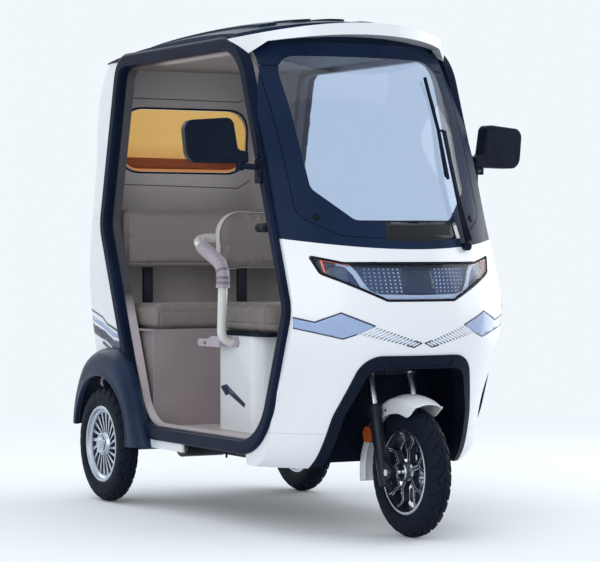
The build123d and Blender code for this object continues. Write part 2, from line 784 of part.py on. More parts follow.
pivot = screen_point(*wiper_pivot, 2)
pivot_top = screen_point(*wiper_pivot, 24)
arm_knee = screen_point(*wiper_knee, 24)
blade_ends = [screen_point(y, z, 12) for y, z in wiper_blade]
wiper = rod((pivot[0] - 2, *pivot[1:]), (pivot_top[0] + 6, *pivot_top[1:]), 13)
wiper += rod(pivot_top, arm_knee, 5)
wiper += rod(arm_knee, blade_ends[1], 4)
for start, end in zip(blade_ends, blade_ends[1:]):
    wiper += rod(start, end, 6)
wiper -= cabin_outer
keep("wiper", max(wiper.solids(), key=lambda solid: solid.volume))

# Dashboard shelf under the windscreen, with the instrument in it
dash = cabin_lined & block(dash_rear_x, 900, -dash_half, dash_half, dash_low_z, dash_high_z)
dash -= block(dash_rear_x + 30, 740, -130, 130, dash_high_z - 14, dash_high_z + 10)
dash_inside = dash_half - 6
dash -= cabin(panel_wall + 6) & block(
    dash_rear_x + 6, 900, -dash_inside, dash_inside, dash_low_z - 1, dash_high_z - 20
)
keep("dashboard", max(dash.solids(), key=lambda s: s.volume))


# Mirrors on the front door pillars
def door_mirror(side):
    outer = flank_y + door_frame_proud
    bracket = block(mirror_x - 20, mirror_x + 20, -outer - 9, -outer - 0.2, mirror_z - 40, mirror_z + 40)
    bracket = fillet(bracket.edges().filter_by(Axis.Y), 8)
    elbow = (mirror_x - 40, -outer - 54, mirror_z + 18)
    arm = rod((mirror_x, -outer - 8, mirror_z + 14), elbow, 10)
    arm += Pos(*elbow) * Cylinder(14, 30)
    arm += Pos(elbow[0], elbow[1], mirror_z + 36) * Cylinder(10, 30)
    shell = flat([(-u, z, radius) for u, z, radius in mirror_outline])
    housing = from_front(shell, -mirror_depth / 2, mirror_depth / 2)
    housing = fillet(housing.faces().sort_by(Axis.X)[-1].edges(), 5)
    housing -= from_front(offset(shell, -5), -mirror_depth, 5 - mirror_depth / 2)
    housing = Pos(mirror_inner_x, -mirror_inner_y, 0) * Rot(0, 0, -mirror_toe) * housing
    piece = bracket + arm + housing
    return piece if side < 0 else mirror(piece, about=Plane.XZ)


keep("mirror_right", door_mirror(-1))
keep("mirror_left", door_mirror(1))

# Steered fork
leg_y = fork_spread / 2
bottom_clamp = on_axis(clamp_z) * Pos(0, 0, 0) * Box(46, fork_spread + 44, 30)
bottom_clamp = fillet(bottom_clamp.edges().filter_by(lambda e: abs(e.length - 30) < 0.1), 18)
fork = bottom_clamp
stem_top = handlebar_z
fork += along_axis(clamp_z, (stem_top - clamp_z) / axis_up.Z, stem_diameter / 2)
for z, r in ((clamp_z, 24), (head_tube_low - 14, 24)):
    fork += along_axis(z, 12, r)
tube_low_z = slider_top_z - 80
for y in (-leg_y, leg_y):
    length = (clamp_z + 14 - tube_low_z) / axis_up.Z
    fork += on_axis(tube_low_z) * Pos(0, y, length / 2) * Cylinder(fork_tube_diameter / 2, length)
keep("fork", fork)


def slider(y):
    length = (slider_top_z - slider_low_z) / axis_up.Z
    body = on_axis(slider_low_z) * Pos(0, y, length / 2) * Cylinder(fork_slider_diameter / 2, length)
    collar = on_axis(slider_top_z - 34) * Pos(0, y, 17) * Cylinder(fork_slider_diameter / 2 + 4, 34)
    lug = across(front_axle_x, axle_z, 19, y - 11, y + 11)
    web = from_side(
        flat(
            (
                (front_axle_x + 4, axle_z + 19, 0.0),
                (front_axle_x + 4, axle_z - 19, 0.0),
                (front_axle_x - axle_lead + 8, slider_low_z + 4, 0.0),
                (front_axle_x - axle_lead - 14, axle_z + 60, 0.0),
            )
        ),
        y - 9,
        y + 9,
    )
    piece = body + collar + lug + web
    depth = 90 / axis_up.Z
    bore_radius = fork_tube_diameter / 2 + running_gap
    bore = on_axis(slider_top_z) * Pos(0, y, -depth / 2 + 5) * Cylinder(bore_radius, depth + 10)
    piece -= bore
    return piece - across(front_axle_x, axle_z, front_axle_radius + 0.1, y - 30, y + 30)


keep("fork_sliders", Compound(children=[slider(-leg_y), slider(leg_y)]))
front_axle = across(front_axle_x, axle_z, front_axle_radius, -leg_y - 20, leg_y + 20)
front_axle += both(across(front_axle_x, axle_z, 11, leg_y + 11.2, leg_y + 20))
keep("front_axle", front_axle)

# Front mudguard, with a wavy lower edge: angle from the front and depth of each scallop
guard_scallops = ((66.0, 30.0), (104.0, 26.0), (178.0, 30.0))
guard_inner = tyre_diameter / 2 + 22
guard_half = leg_y - fork_slider_diameter / 2 - 4.3
guard_front_angle = 54.0


def ring_across(x, z, outer, inner, y_low, y_high):
    return across(x, z, outer, y_low, y_high) - across(x, z, inner, y_low - 5, y_high + 5)


guard = ring_across(front_axle_x, axle_z, guard_inner + 3, guard_inner, -guard_half, guard_half)
valance = ring_across(front_axle_x, axle_z, guard_inner + 3, guard_inner - 46, -guard_half, -guard_half + 3)
guard += both(valance)
wedge = flat(
    (
        (front_axle_x, axle_z, 0.0),
        (front_axle_x + 400, axle_z + 400 * tan(radians(guard_front_angle)), 0.0),
        (front_axle_x, axle_z + 700, 0.0),
        (front_axle_x - 700, axle_z + 300, 0.0),
        (front_axle_x - 400, axle_z - 60, 0.0),
    )
)
guard = guard & from_side(wedge, -200, 200)
for angle, depth in guard_scallops:
    reach = guard_inner - 46
    centre = (front_axle_x + reach * cos(radians(angle)), axle_z + reach * sin(radians(angle)))
    guard -= across(*centre, depth, -300, 300)
keep("front_mudguard", guard)
stays = []
reflectors = []
for y in (-1, 1):
    stay = on_axis(reflector_z, -fork_slider_diameter / 2 - 12) * Pos(0, y * leg_y, 0) * Box(24, 6, 60)
    stays.append(stay)
    face_y = y * (leg_y + 3.2 + reflector_depth / 2)
    place = on_axis(reflector_z, -fork_slider_diameter / 2 - 31) * Pos(0, face_y, 0)
    reflectors.append(place * Rot(90, 0, 0) * Cylinder(reflector_diameter / 2, reflector_depth))
keep("reflector_stays", Compound(children=[stay - disc for stay, disc in zip(stays, reflectors)]))
keep("fork_reflectors", Compound(children=reflectors))

# Handlebar
bar_plane = on_axis(handlebar_z)
bar_points = (
    (-0.0, -60.0, 26.0),
    (-8.0, -150.0, 40.0),
    (-75.0, -310.0, 34.0),
)
bar_path_points = [tuple((bar_plane * Pos(x, y, z)).position) for x, y, z in reversed(bar_points)]
bar_path_points += [tuple((bar_plane * Pos(x, -y, z)).position) for x, y, z in bar_points]
bar = pipe(bar_path_points, [40, 30, 30, 40], 11)
bar += bar_plane * Pos(0, 0, 12) * Box(40, 60, 24)
bar += bar_plane * Pos(0, 0, 26) * Box(34, 50, 24)
keep("handlebar", bar)
bar_knee = Vector(*bar_path_points[-2])
bar_tip = Vector(*bar_path_points[-1])
grip_start = bar_tip + (bar_knee - bar_tip).normalized() * 118
grip = rod(tuple(grip_start), tuple(bar_tip), 16) - rod(tuple(grip_start), tuple(bar_tip), 11)
keep("handlebar_grips", Compound(children=both(grip)))


# Wheels
def tyre(x, y):
    half = tyre_width / 2
    outer = tyre_diameter / 2
    seat = rim_diameter / 2
    rise = outer - seat
    profile = FilletPolyline(
        (half * 0.72, seat),
        (half, seat + 0.34 * rise),
        (half * 0.93, outer - 0.42 * rise),
        (half * 0.5, outer),
        (-half * 0.5, outer),
        (-half * 0.93, outer - 0.42 * rise),
        (-half, seat + 0.34 * rise),
        (-half * 0.72, seat),
        radius=[0.16 * rise, 0.2 * rise, 0.3 * rise, 0.3 * rise, 0.2 * rise, 0.16 * rise],
    )
    section = make_face([profile, Line((-half * 0.72, seat), (half * 0.72, seat))])
    plane = Plane(origin=(0, 0, 0), x_dir=(0, 1, 0), z_dir=(1, 0, 0))
    return Pos(x, y, axle_z) * revolve(plane * section, Axis.Y)


def revolve_about_y(rows):
    """A body of revolution about Y from (y, radius) rows."""
    section = make_face(Polyline(*rows, close=True))
    plane = Plane(origin=(0, 0, 0), x_dir=(0, 1, 0), z_dir=(1, 0, 0))
    return revolve(plane * section, Axis.Y)


def rim_band(bed):
    half = tyre_width * 0.36
    seat = rim_diameter / 2
    return revolve_about_y(
        (
            (-half, seat),
            (half, seat),
            (half, seat - rim_lip),
            (half - 6, seat - rim_lip - 2),
            (half - 14, seat - bed),
            (-half + 14, seat - bed),
            (-half + 6, seat - rim_lip - 2),
            (-half, seat - rim_lip),
        )
    )


def front_rim():
    rim = rim_band(20)
    seat = rim_diameter / 2 - 16
    hub = Rot(90, 0, 0) * Cylinder(30, 2 * hub_half)
    rim += hub
    for i in range(front_spoke_count):
        spoke = Rot(0, i * 360 / front_spoke_count, 0) * spoke_pair()
        rim += spoke & (Rot(90, 0, 0) * Cylinder(seat, 60))
    return rim - Rot(90, 0, 0) * Cylinder(front_axle_radius + running_gap, 200)


def spoke_pair():
    """One stem from the hub that forks into two arms towards the rim."""
    stem = from_side(flat(((-8, 20, 0), (8, 20, 0), (7, 78, 0), (-7, 78, 0))), -11, 11)
    arm_rows = ((-6, 66), (6, 62), (34, 98), (34, 140), (23, 140), (23, 102))
    for s in (-1, 1):
        stem += from_side(flat([(s * x, z, 0) for x, z in arm_rows]), -11, 11)
    return stem


def rear_rim():
    """A dished wheel whose disc is cut into thin curved blades."""
    rim = rim_band(20)
    seat = rim_diameter / 2 - 16
    rim += Pos(0, -10, 0) * Rot(90, 0, 0) * Cylinder(seat, 12)
    rim += Pos(0, -14, 0) * Rot(90, 0, 0) * Cylinder(34, 44)
    slot_in = 44
    slot_out = seat - 7
    sweep_angle = 14
    pitch = 360 / rear_blade_count
    corners = (
        (slot_in, 0.16 * pitch),
        (slot_out, 0.2 * pitch + sweep_angle),
        (slot_out, 0.86 * pitch + sweep_angle),
        (slot_in, 0.7 * pitch),
    )
    rows = [(r * cos(radians(a)), r * sin(radians(a)), 2.0) for r, a in corners]
    slot = from_side(flat(rows), -30, 10)
    for i in range(rear_blade_count):
        rim -= Rot(0, i * pitch, 0) * slot
    return rim - Pos(0, 20, 0) * Rot(90, 0, 0) * Cylinder(11.3, 60)


keep("front_tyre", tyre(front_axle_x, 0))
keep("front_rim", Pos(front_axle_x, 0, axle_z) * front_rim())
disc_y = hub_half + running_gap + disc_thickness / 2
disc_low = disc_y - disc_thickness / 2
disc_ring = across(front_axle_x, axle_z, disc_diameter / 2, disc_low, disc_low + disc_thickness)
disc_ring -= across(front_axle_x, axle_z, front_axle_radius + running_gap, 0, 100)
for i in range(6):
    centre = Pos(front_axle_x, disc_y, axle_z) * Rot(0, i * 60, 0) * Pos(52, 0, 0)
    disc_ring -= centre * Rot(90, 0, 0) * Cylinder(16, 20)
keep("brake_disc", disc_ring)
caliper_x = front_axle_x - 30
caliper_z = axle_z - disc_diameter / 2 + 8
caliper = block(caliper_x - 28, caliper_x + 28, disc_y - 16, disc_y + 20, caliper_z - 24, caliper_z + 24)
caliper = fillet(caliper.edges().filter_by(Axis.Y), 12)
caliper -= across(front_axle_x, axle_z, disc_diameter / 2 + 5.5, disc_y - 7.5, disc_y + 7.5)
arm_face = flat(
    (
        (front_axle_x - 4, axle_z - 8, 0.0),
        (front_axle_x + 16, axle_z - 8, 0.0),
        (front_axle_x + 2, caliper_z, 0.0),
        (front_axle_x - 10, caliper_z, 0.0),
    )
)
caliper_arm = from_side(arm_face, disc_y + 14, leg_y - 11.3)
keep("brake_caliper", caliper + caliper_arm)
right_rim = rear_rim()
for side, word in ((-1, "right"), (1, "left")):
    keep(f"rear_tyre_{word}", tyre(rear_axle_x, side * rear_wheel_y))
    placed = right_rim if side < 0 else mirror(right_rim, about=Plane.XZ)
    keep(f"rear_rim_{word}", Pos(rear_axle_x, side * rear_wheel_y, axle_z) * placed)


def main():
    for name, shape in nodes.items():
        solids = shape.solids()
        print(name, len(solids), round(sum(s.volume for s in solids) / 1000), "cm3")
        export_step(Compound(children=list(solids)), f"parts/{name}.step")


main()
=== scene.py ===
import json
import math

import bmesh
import bpy
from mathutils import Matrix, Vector
from mathutils.bvhtree import BVHTree


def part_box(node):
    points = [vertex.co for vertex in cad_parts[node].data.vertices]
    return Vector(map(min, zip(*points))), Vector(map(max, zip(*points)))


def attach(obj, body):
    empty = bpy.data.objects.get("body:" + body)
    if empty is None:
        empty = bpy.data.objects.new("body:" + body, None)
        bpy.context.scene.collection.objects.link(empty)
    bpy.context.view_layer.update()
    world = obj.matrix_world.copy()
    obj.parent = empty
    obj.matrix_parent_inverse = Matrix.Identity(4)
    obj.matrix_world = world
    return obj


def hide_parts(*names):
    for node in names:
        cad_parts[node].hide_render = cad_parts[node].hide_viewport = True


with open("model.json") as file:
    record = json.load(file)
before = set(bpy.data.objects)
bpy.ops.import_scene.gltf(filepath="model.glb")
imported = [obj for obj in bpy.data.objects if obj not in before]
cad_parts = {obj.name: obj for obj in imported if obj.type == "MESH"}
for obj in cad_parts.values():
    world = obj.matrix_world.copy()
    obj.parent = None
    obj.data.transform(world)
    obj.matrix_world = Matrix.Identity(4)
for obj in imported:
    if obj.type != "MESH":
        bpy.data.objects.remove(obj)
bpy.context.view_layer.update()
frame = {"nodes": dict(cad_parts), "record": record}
SIDES = ((-1, "right"), (1, "left"))

bl_info = {
    "name": "Cabin moped",
    "version": (1, 0, 0),
    "blender": (4, 5, 0),
    "location": "View3D > Sidebar > Cabin moped",
    "description": "Dresses the packed three-wheeled cabin moped with its finishes and soft pieces",
    "category": "Add Mesh",
}


# Materials


class Shader:
    """A node material built up from layers in object coordinates."""

    def __init__(self, name, colour, rough, metal=0.0, **sockets):
        self.material = bpy.data.materials.new(name)
        self.material.use_nodes = True
        self.nodes = self.material.node_tree.nodes
        self.links = self.material.node_tree.links
        self.bsdf = self.nodes["Principled BSDF"]
        self.set("Base Color", (*colour, 1.0))
        self.set("Roughness", rough)
        self.set("Metallic", metal)
        for key, value in sockets.items():
            self.set(key.replace("_", " "), value)
        self.where = self.nodes.new("ShaderNodeTexCoord").outputs["Object"]
        self.normal = None

    def set(self, socket, value):
        self.bsdf.inputs[socket].default_value = value

    def stretched(self, scale):
        mapping = self.nodes.new("ShaderNodeMapping")
        mapping.inputs["Scale"].default_value = scale
        self.links.new(self.where, mapping.inputs["Vector"])
        return mapping.outputs["Vector"]

    def noise(self, scale, detail=4.0, rough=0.55, stretch=None):
        node = self.nodes.new("ShaderNodeTexNoise")
        node.inputs["Scale"].default_value = scale
        node.inputs["Detail"].default_value = detail
        node.inputs["Roughness"].default_value = rough
        self.links.new(self.stretched(stretch) if stretch else self.where, node.inputs["Vector"])
        return node.outputs["Fac"]

    def cells(self, scale, feature="F1"):
        node = self.nodes.new("ShaderNodeTexVoronoi")
        node.feature = feature
        node.inputs["Scale"].default_value = scale
        self.links.new(self.where, node.inputs["Vector"])
        return node.outputs["Distance"]

    def ramp(self, source, low, high, to_low=0.0, to_high=1.0):
        node = self.nodes.new("ShaderNodeMapRange")
        node.inputs["From Min"].default_value = low
        node.inputs["From Max"].default_value = high
        node.inputs["To Min"].default_value = to_low
        node.inputs["To Max"].default_value = to_high
        self.links.new(source, node.inputs["Value"])
        return node.outputs["Result"]

    def mix(self, factor, colour_a, colour_b):
        node = self.nodes.new("ShaderNodeMix")
        node.data_type = "RGBA"
        self.links.new(factor, node.inputs["Factor"])
        for socket, colour in ((node.inputs["A"], colour_a), (node.inputs["B"], colour_b)):
            if isinstance(colour, tuple):
                socket.default_value = (*colour, 1.0)
            else:
                self.links.new(colour, socket)
        return node.outputs["Result"]

    def along(self, axis):
        """The place along X, Y or Z."""
        split = self.nodes.new("ShaderNodeSeparateXYZ")
        self.links.new(self.where, split.inputs["Vector"])
        return split.outputs[axis]

    def math(self, operation, a, b):
        node = self.nodes.new("ShaderNodeMath")
        node.operation = operation
        self.links.new(a, node.inputs[0])
        self.links.new(b, node.inputs[1])
        return node.outputs[0]

    def mottled(self, noise, low, high, colour, shade):
        """Two colours, mixed by a noise of (scale, detail, roughness)."""
        return self.mix(self.ramp(self.noise(*noise), low, high), colour, shade)

    def colour(self, source):
        self.links.new(source, self.bsdf.inputs["Base Color"])

    def worn(self, noise, low, high, least, most, stretch=None):
        """Roughness from least to most, by a noise of (scale, detail)."""
        source = self.ramp(self.noise(*noise, stretch=stretch), low, high, least, most)
        self.links.new(source, self.bsdf.inputs["Roughness"])

    def bump(self, source, strength, distance):
        node = self.nodes.new("ShaderNodeBump")
        node.inputs["Strength"].default_value = strength
        node.inputs["Distance"].default_value = distance
        self.links.new(source, node.inputs["Height"])
        if self.normal:
            self.links.new(self.normal, node.inputs["Normal"])
        self.normal = node.outputs["Normal"]
        self.links.new(self.normal, self.bsdf.inputs["Normal"])


def gloss_paint(name, colour, shade, rough=0.14, coat=0.6, **sockets):
    s = Shader(name, colour, rough, Coat_Weight=coat, Coat_Roughness=0.04, **sockets)
    s.colour(s.mottled((3.0, 5), 0.35, 0.7, colour, shade))
    s.worn((18.0, 6), 0.3, 0.8, rough * 0.9, rough * 1.15)
    s.bump(s.noise(260.0, 2), 0.03, 0.0003)
    return s.material


def grained(name, colour, shade, rough, **sockets):
    """The start of every moulded surface: its shader and its mottled colour."""
    s = Shader(name, colour, rough, **sockets)
    s.worn((30.0, 5), 0.3, 0.75, rough * 0.8, rough * 1.2)
    return s, s.mottled((7.0, 6), 0.35, 0.75, colour, shade)


def moulded_plastic(name, colour, shade, rough=0.5, grain=900.0, **sockets):
    s, mottled = grained(name, colour, shade, rough, **sockets)
    s.colour(mottled)
    s.bump(s.cells(grain), 0.1, 0.0004)
    s.bump(s.noise(40.0, 3), 0.04, 0.0015)
    return s.material


def wall_lining(name, colour, shade, far, rough=0.42):
    """Pale moulded lining with painted shade: it is darker high up at the back of the cabin."""
    s, mottled = grained(name, colour, shade, rough)
    behind = s.ramp(s.along("X"), -0.24, -0.38)
    high = s.ramp(s.along("Z"), 0.69, 0.78)
    # painted shade: high up at the back the colour turns to the near black one
    s.colour(s.mix(s.math("MULTIPLY", behind, high), mottled, far))
    s.bump(s.cells(500.0), 0.2, 0.0004)
    return s.material


def back_lining(name, colour, shade, painted_ceiling_shade, rough=0.55):
    """Grained lining with painted shade: it turns darker towards the ceiling."""
    s, mottled = grained(name, colour, shade, rough)
    # painted shade: the colour turns to the darker one high up, towards the ceiling
    s.colour(s.mix(s.ramp(s.along("Z"), 1.30, 1.62), mottled, painted_ceiling_shade))
    s.bump(s.cells(300.0), 0.15, 0.0004)
    return s.material


def painted_steel(name, colour, shade, rough=0.38, **sockets):
    s = Shader(name, colour, rough, Coat_Weight=0.1, Coat_Roughness=0.2, **sockets)
    s.colour(s.mottled((12.0, 8, 0.65), 0.45, 0.8, colour, shade))
    s.worn((25.0, 6), 0.3, 0.8, rough * 0.7, rough * 1.4)
    s.bump(s.noise(180.0, 3), 0.12, 0.0005)
    return s.material


def bright_metal(name, colour, rough=0.22):
    s = Shader(name, colour, rough, 1.0)
    brushed = (30.0, 400.0, 30.0)
    s.worn((6.0, 4), 0.3, 0.7, rough * 0.6, rough * 1.5, stretch=brushed)
    s.colour(s.mottled((9.0, 5), 0.4, 0.8, colour, tuple(c * 0.82 for c in colour)))
    s.bump(s.noise(5.0, 3, stretch=brushed), 0.04, 0.0003)
    return s.material


def leather(name, colour, shade, crease):
    s = Shader(name, colour, 0.5, Sheen_Weight=0.15, Sheen_Roughness=0.5)
    pores = s.ramp(s.cells(420.0, "DISTANCE_TO_EDGE"), 0.0, 0.18)
    s.colour(s.mix(pores, crease, s.mottled((5.0, 6, 0.6), 0.35, 0.72, colour, shade)))
    s.worn((14.0, 5), 0.3, 0.75, 0.4, 0.62)
    s.bump(pores, 0.35, 0.0006)
    s.bump(s.noise(26.0, 6, 0.6), 0.22, 0.004)
    return s.material


def clear_glass(name, tint, rough=0.02, bend=1.45):
    s = Shader(name, tint, rough, Transmission_Weight=1.0, IOR=bend)
    s.worn((6.0, 5), 0.45, 0.9, rough, rough * 3)
    return s.material


def graded_window(name, top, foot, low, high):
    """Tinted glass whose colour turns warmer and darker towards its lower edge."""
    s = Shader(name, top, 0.25, Transmission_Weight=0.8, IOR=1.45)
    s.colour(s.mix(s.ramp(s.along("Z"), low, high), foot, top))
    s.worn((9.0, 5), 0.35, 0.8, 0.1, 0.3)
    return s.material


def tyre_rubber(name):
    s = Shader(name, (0.006, 0.010, 0.020), 0.55, Specular_IOR_Level=0.08)
    s.colour(s.mottled((22.0, 7, 0.65), 0.55, 0.9, (0.0055, 0.009, 0.018), (0.012, 0.016, 0.024)))
    s.worn((40.0, 4), 0.3, 0.8, 0.5, 0.78)
    s.bump(s.cells(700.0), 0.2, 0.0004)
    return s.material


SOFT = {"Specular_IOR_Level": 0.14}
DULL = {"Specular_IOR_Level": 0.05}
DEEP = {"Specular_IOR_Level": 0.035}
FINISHES = (
    # maker, name, then what the maker takes, and its sockets
    (gloss_paint, "roof_navy", (0.0065, 0.0145, 0.038), (0.010, 0.021, 0.052), 0.28, 0.0, DULL),
    (gloss_paint, "frame_black", (0.004, 0.008, 0.021), (0.008, 0.015, 0.036), 0.24, 0.0, DEEP),
    (gloss_paint, "gloss_black", (0.002, 0.003, 0.006), (0.004, 0.005, 0.009), 0.06, 0.3, SOFT),
    (gloss_paint, "alloy_black", (0.007, 0.010, 0.020), (0.014, 0.018, 0.030), 0.25, 0.0, SOFT),
    (gloss_paint, "tube_cream", (0.68, 0.68, 0.66), (0.60, 0.60, 0.59), 0.2),
    (gloss_paint, "decal_navy", (0.010, 0.020, 0.060), (0.016, 0.028, 0.075), 0.3, 0.1),
    (gloss_paint, "decal_blue", (0.27, 0.36, 0.56), (0.23, 0.31, 0.50), 0.25, 0.3),
    (gloss_paint, "window_strip", (0.36, 0.085, 0.030), (0.27, 0.06, 0.022), 0.3, 0.0, SOFT),
    (gloss_paint, "lamp_back", (0.065, 0.095, 0.185), (0.05, 0.075, 0.15), 0.35, 0.0, SOFT),
    (gloss_paint, "lamp_dark", (0.030, 0.045, 0.10), (0.02, 0.03, 0.07), 0.25, 0.2, SOFT),
    (gloss_paint, "lamp_band", (0.45, 0.55, 0.74), (0.41, 0.50, 0.69), 0.3, 0.2),
    (gloss_paint, "lamp_strip", (0.86, 0.17, 0.09), (0.78, 0.14, 0.075), 0.3, 0.2),
    (gloss_paint, "lamp_dot", (0.66, 0.75, 0.90), (0.60, 0.69, 0.85), 0.3, 0.2),
    (moulded_plastic, "trim_black", (0.004, 0.007, 0.016), (0.008, 0.013, 0.027), 0.42, DULL),
    (moulded_plastic, "fender_satin", (0.007, 0.016, 0.042), (0.013, 0.028, 0.066), 0.34, 700.0, SOFT),
    (moulded_plastic, "bench_panel", (0.255, 0.215, 0.225), (0.215, 0.18, 0.19), 0.5, 400.0),
    # a darker copy of the lining for the ceiling: painted shade
    (moulded_plastic, "headliner", (0.24, 0.225, 0.225), (0.20, 0.185, 0.19), 0.6, 350.0),
    (moulded_plastic, "lamp_amber", (0.45, 0.09, 0.02), (0.36, 0.065, 0.014), 0.2, 300.0),
    (moulded_plastic, "shell_pale", (0.56, 0.52, 0.51), (0.50, 0.46, 0.45), 0.4, 500.0),
    (moulded_plastic, "grip_grey", (0.40, 0.35, 0.41), (0.33, 0.29, 0.34), 0.5, 600.0),
    (moulded_plastic, "grip_dark", (0.22, 0.19, 0.22), (0.17, 0.15, 0.17), 0.5, 600.0),
    # painted shade for the grooves in the rear lining
    (moulded_plastic, "seam_dark", (0.05, 0.045, 0.045), (0.04, 0.035, 0.035), 0.6),
    (moulded_plastic, "rubber_black", (0.005, 0.007, 0.014), (0.010, 0.013, 0.022), 0.5, 500.0, DULL),
    # lining_grey: its last colour is painted shade, high up towards the ceiling
    (back_lining, "lining_grey", (0.46, 0.42, 0.415), (0.40, 0.365, 0.36), (0.26, 0.24, 0.24)),
    # lining_pale: its last colour is painted shade, high up at the back of the cabin
    (wall_lining, "lining_pale", (0.50, 0.455, 0.475), (0.43, 0.39, 0.405), (0.045, 0.045, 0.055)),
    (clear_glass, "glass_clear", (0.46, 0.56, 0.74), 0.02, 1.4),
    (clear_glass, "lamp_clear", (0.93, 0.96, 1.0), 0.02, 1.22),
    (clear_glass, "lamp_red", (0.6, 0.02, 0.015), 0.15),
    (clear_glass, "lamp_bulb", (0.93, 0.96, 1.0), 0.08),
    (graded_window, "glass_amber", (0.86, 0.52, 0.15), (0.62, 0.22, 0.05), 1.24, 1.36),
    (leather, "seat_leather", (0.205, 0.178, 0.166), (0.168, 0.145, 0.136), (0.120, 0.103, 0.097)),
    (painted_steel, "frame_metal", (0.006, 0.009, 0.018), (0.018, 0.021, 0.028), SOFT),
    (bright_metal, "steel_bright", (0.62, 0.66, 0.72)),
    (bright_metal, "alloy", (0.50, 0.545, 0.62), 0.3),
    (bright_metal, "mirror", (0.85, 0.87, 0.9), 0.03),
    (tyre_rubber, "tyre"),
)
BODY_WHITE = ((0.705, 0.735, 0.765), (0.675, 0.71, 0.745))
BODY_COAT = 0.25

# The record's slot for each finish that is the scene's own, and the nodes that wear such a finish
# the ceiling wears the darker copy of the lining, as painted shade
NODE_FINISH = {"bench_base": "bench_panel", "ceiling": "headliner"}

finishes = {}


# Geometry helpers, in metres in the model's frame where mm aren't named


def link_mesh(name, shape, finish, body="root", smooth=True):
    """Turns a bmesh or (points, faces) into a piece that rides on a body."""
    mesh = bpy.data.meshes.new(name)
    if isinstance(shape, tuple):
        mesh.from_pydata(list(shape[0]), [], list(shape[1]))
    else:
        shape.normal_update()
        shape.to_mesh(mesh)
        shape.free()
    mesh.materials.append(finishes[finish])
    mesh.polygons.foreach_set("use_smooth", [smooth] * len(mesh.polygons))
    piece = bpy.data.objects.new(name, mesh)
    bpy.context.scene.collection.objects.link(piece)
    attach(piece, body)
    return piece


def thicken(piece, thickness, offset=0.0):
    """Gives a sheet its wall."""
    wall = piece.modifiers.new("wall", "SOLIDIFY")
    wall.thickness = thickness
    wall.offset = offset


def grid_faces(rows, wide, round_rows=False, round_across=False):
    """The faces of a grid of points, closed either way where it is said."""
    faces = []
    for i in range(rows if round_rows else rows - 1):
        j = (i + 1) % rows
        for k in range(wide if round_across else wide - 1):
            m = (k + 1) % wide
            faces.append((i * wide + k, i * wide + m, j * wide + m, j * wide + k))
    return faces


def middle_of(node):
    """The middle of a CAD node's box, in metres."""
    return [(a + b) / 2 for a, b in zip(*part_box(node))]


def round_axle(centre, angle, radius, y):
    """A point at a turn in radians and a radius in mm about an axle along Y."""
    return (centre[0] + radius * math.cos(angle) / 1000, y, centre[2] + radius * math.sin(angle) / 1000)


def surface_of(*names):
    """A search tree over CAD nodes at rest."""
    points, faces = [], []
    for name in names:
        node = frame["nodes"][name]
        base = len(points)
        points += [node.matrix_world @ v.co for v in node.data.vertices]
        faces += [[base + i for i in p.vertices] for p in node.data.polygons]
    return BVHTree.FromPolygons(points, faces)


def cast_round(tree, axis_x, axis_y=0.0):
    """Finds the surface at (angle about an upright axis in degrees, height in mm), from outside."""

    def find(angle, height):
        way = Vector((math.cos(math.radians(angle)), math.sin(math.radians(angle)), 0.0))
        middle = Vector((axis_x, axis_y, height / 1000.0))
        point, normal, _, _ = tree.ray_cast(middle + way * 2.0, -way)
        if point is None:
            return None
        return point, (normal if normal.dot(way) > 0 else -normal)

    return find


def cast_along(tree, way, start):
    """Finds the surface at two flat coordinates in mm, looking along an axis."""
    way = Vector(way)

    def find(u, v):
        if abs(way.x) > 0.5:
            origin = Vector((start, u / 1000.0, v / 1000.0))
        elif abs(way.y) > 0.5:
            origin = Vector((u / 1000.0, start, v / 1000.0))
        else:
            origin = Vector((u / 1000.0, v / 1000.0, start))
        point, normal, _, _ = tree.ray_cast(origin, way)
        if point is None:
            return None
        return point, (normal if normal.dot(way) < 0 else -normal)

    return find


def wrap(name, loops, find, lift, grid, finish, body="root", thick=0.0004, longest=None):
    """A thin film with these flat outlines, laid over a surface, without the edges that span a gap."""
    bm = bmesh.new()
    for loop in loops:
        bm.faces.new([bm.verts.new((u, v, 0.0)) for u, v in loop])
    bmesh.ops.triangulate(bm, faces=bm.faces[:])
    for k, step in enumerate(grid):
        values = [v.co[k] for v in bm.verts]
        mark = math.ceil(min(values) / step) * step
        while mark < max(values):
            normal = Vector((1, 0, 0)) if k == 0 else Vector((0, 1, 0))
            bmesh.ops.bisect_plane(
                bm, geom=bm.verts[:] + bm.edges[:] + bm.faces[:], plane_co=normal * mark, plane_no=normal
            )
            mark += step
    bmesh.ops.remove_doubles(bm, verts=bm.verts[:], dist=1e-5)
    lost = []
    for v in bm.verts:
        hit = find(v.co.x, v.co.y)
        if hit is None:
            lost.append(v)
        else:
            v.co = hit[0] + hit[1] * lift
    bmesh.ops.delete(bm, geom=lost, context="VERTS")
    if longest:
        bmesh.ops.delete(bm, geom=[e for e in bm.edges if e.calc_length() > longest], context="EDGES")
    bmesh.ops.recalc_face_normals(bm, faces=bm.faces[:])
    piece = link_mesh(name, bm, finish, body)
    thicken(piece, thick)
    return piece


def ribbon(points, width, closed=False):
    """The flat outline of a line of a given width through points."""
    left, right = [], []
    count = len(points)
    for i, (u, v) in enumerate(points):
        before = Vector(points[i - 1]) if i or closed else None
        after = Vector(points[(i + 1) % count]) if i < count - 1 or closed else None
        here = Vector((u, v))
        ends = ((here - before) if before else None, (after - here) if after else None)
        ways = [w.normalized() for w in ends if w]
        way = sum(ways, Vector((0.0, 0.0))).normalized()
        side = Vector((-way.y, way.x))
        reach = width / 2 / max(0.4, ways[0].dot(way))
        left.append(tuple(here + side * reach))
        right.append(tuple(here - side * reach))
    strips = []
    for i in range(count if closed else count - 1):
        j = (i + 1) % count
        strips.append([left[i], right[i], right[j], left[j]])
    return strips


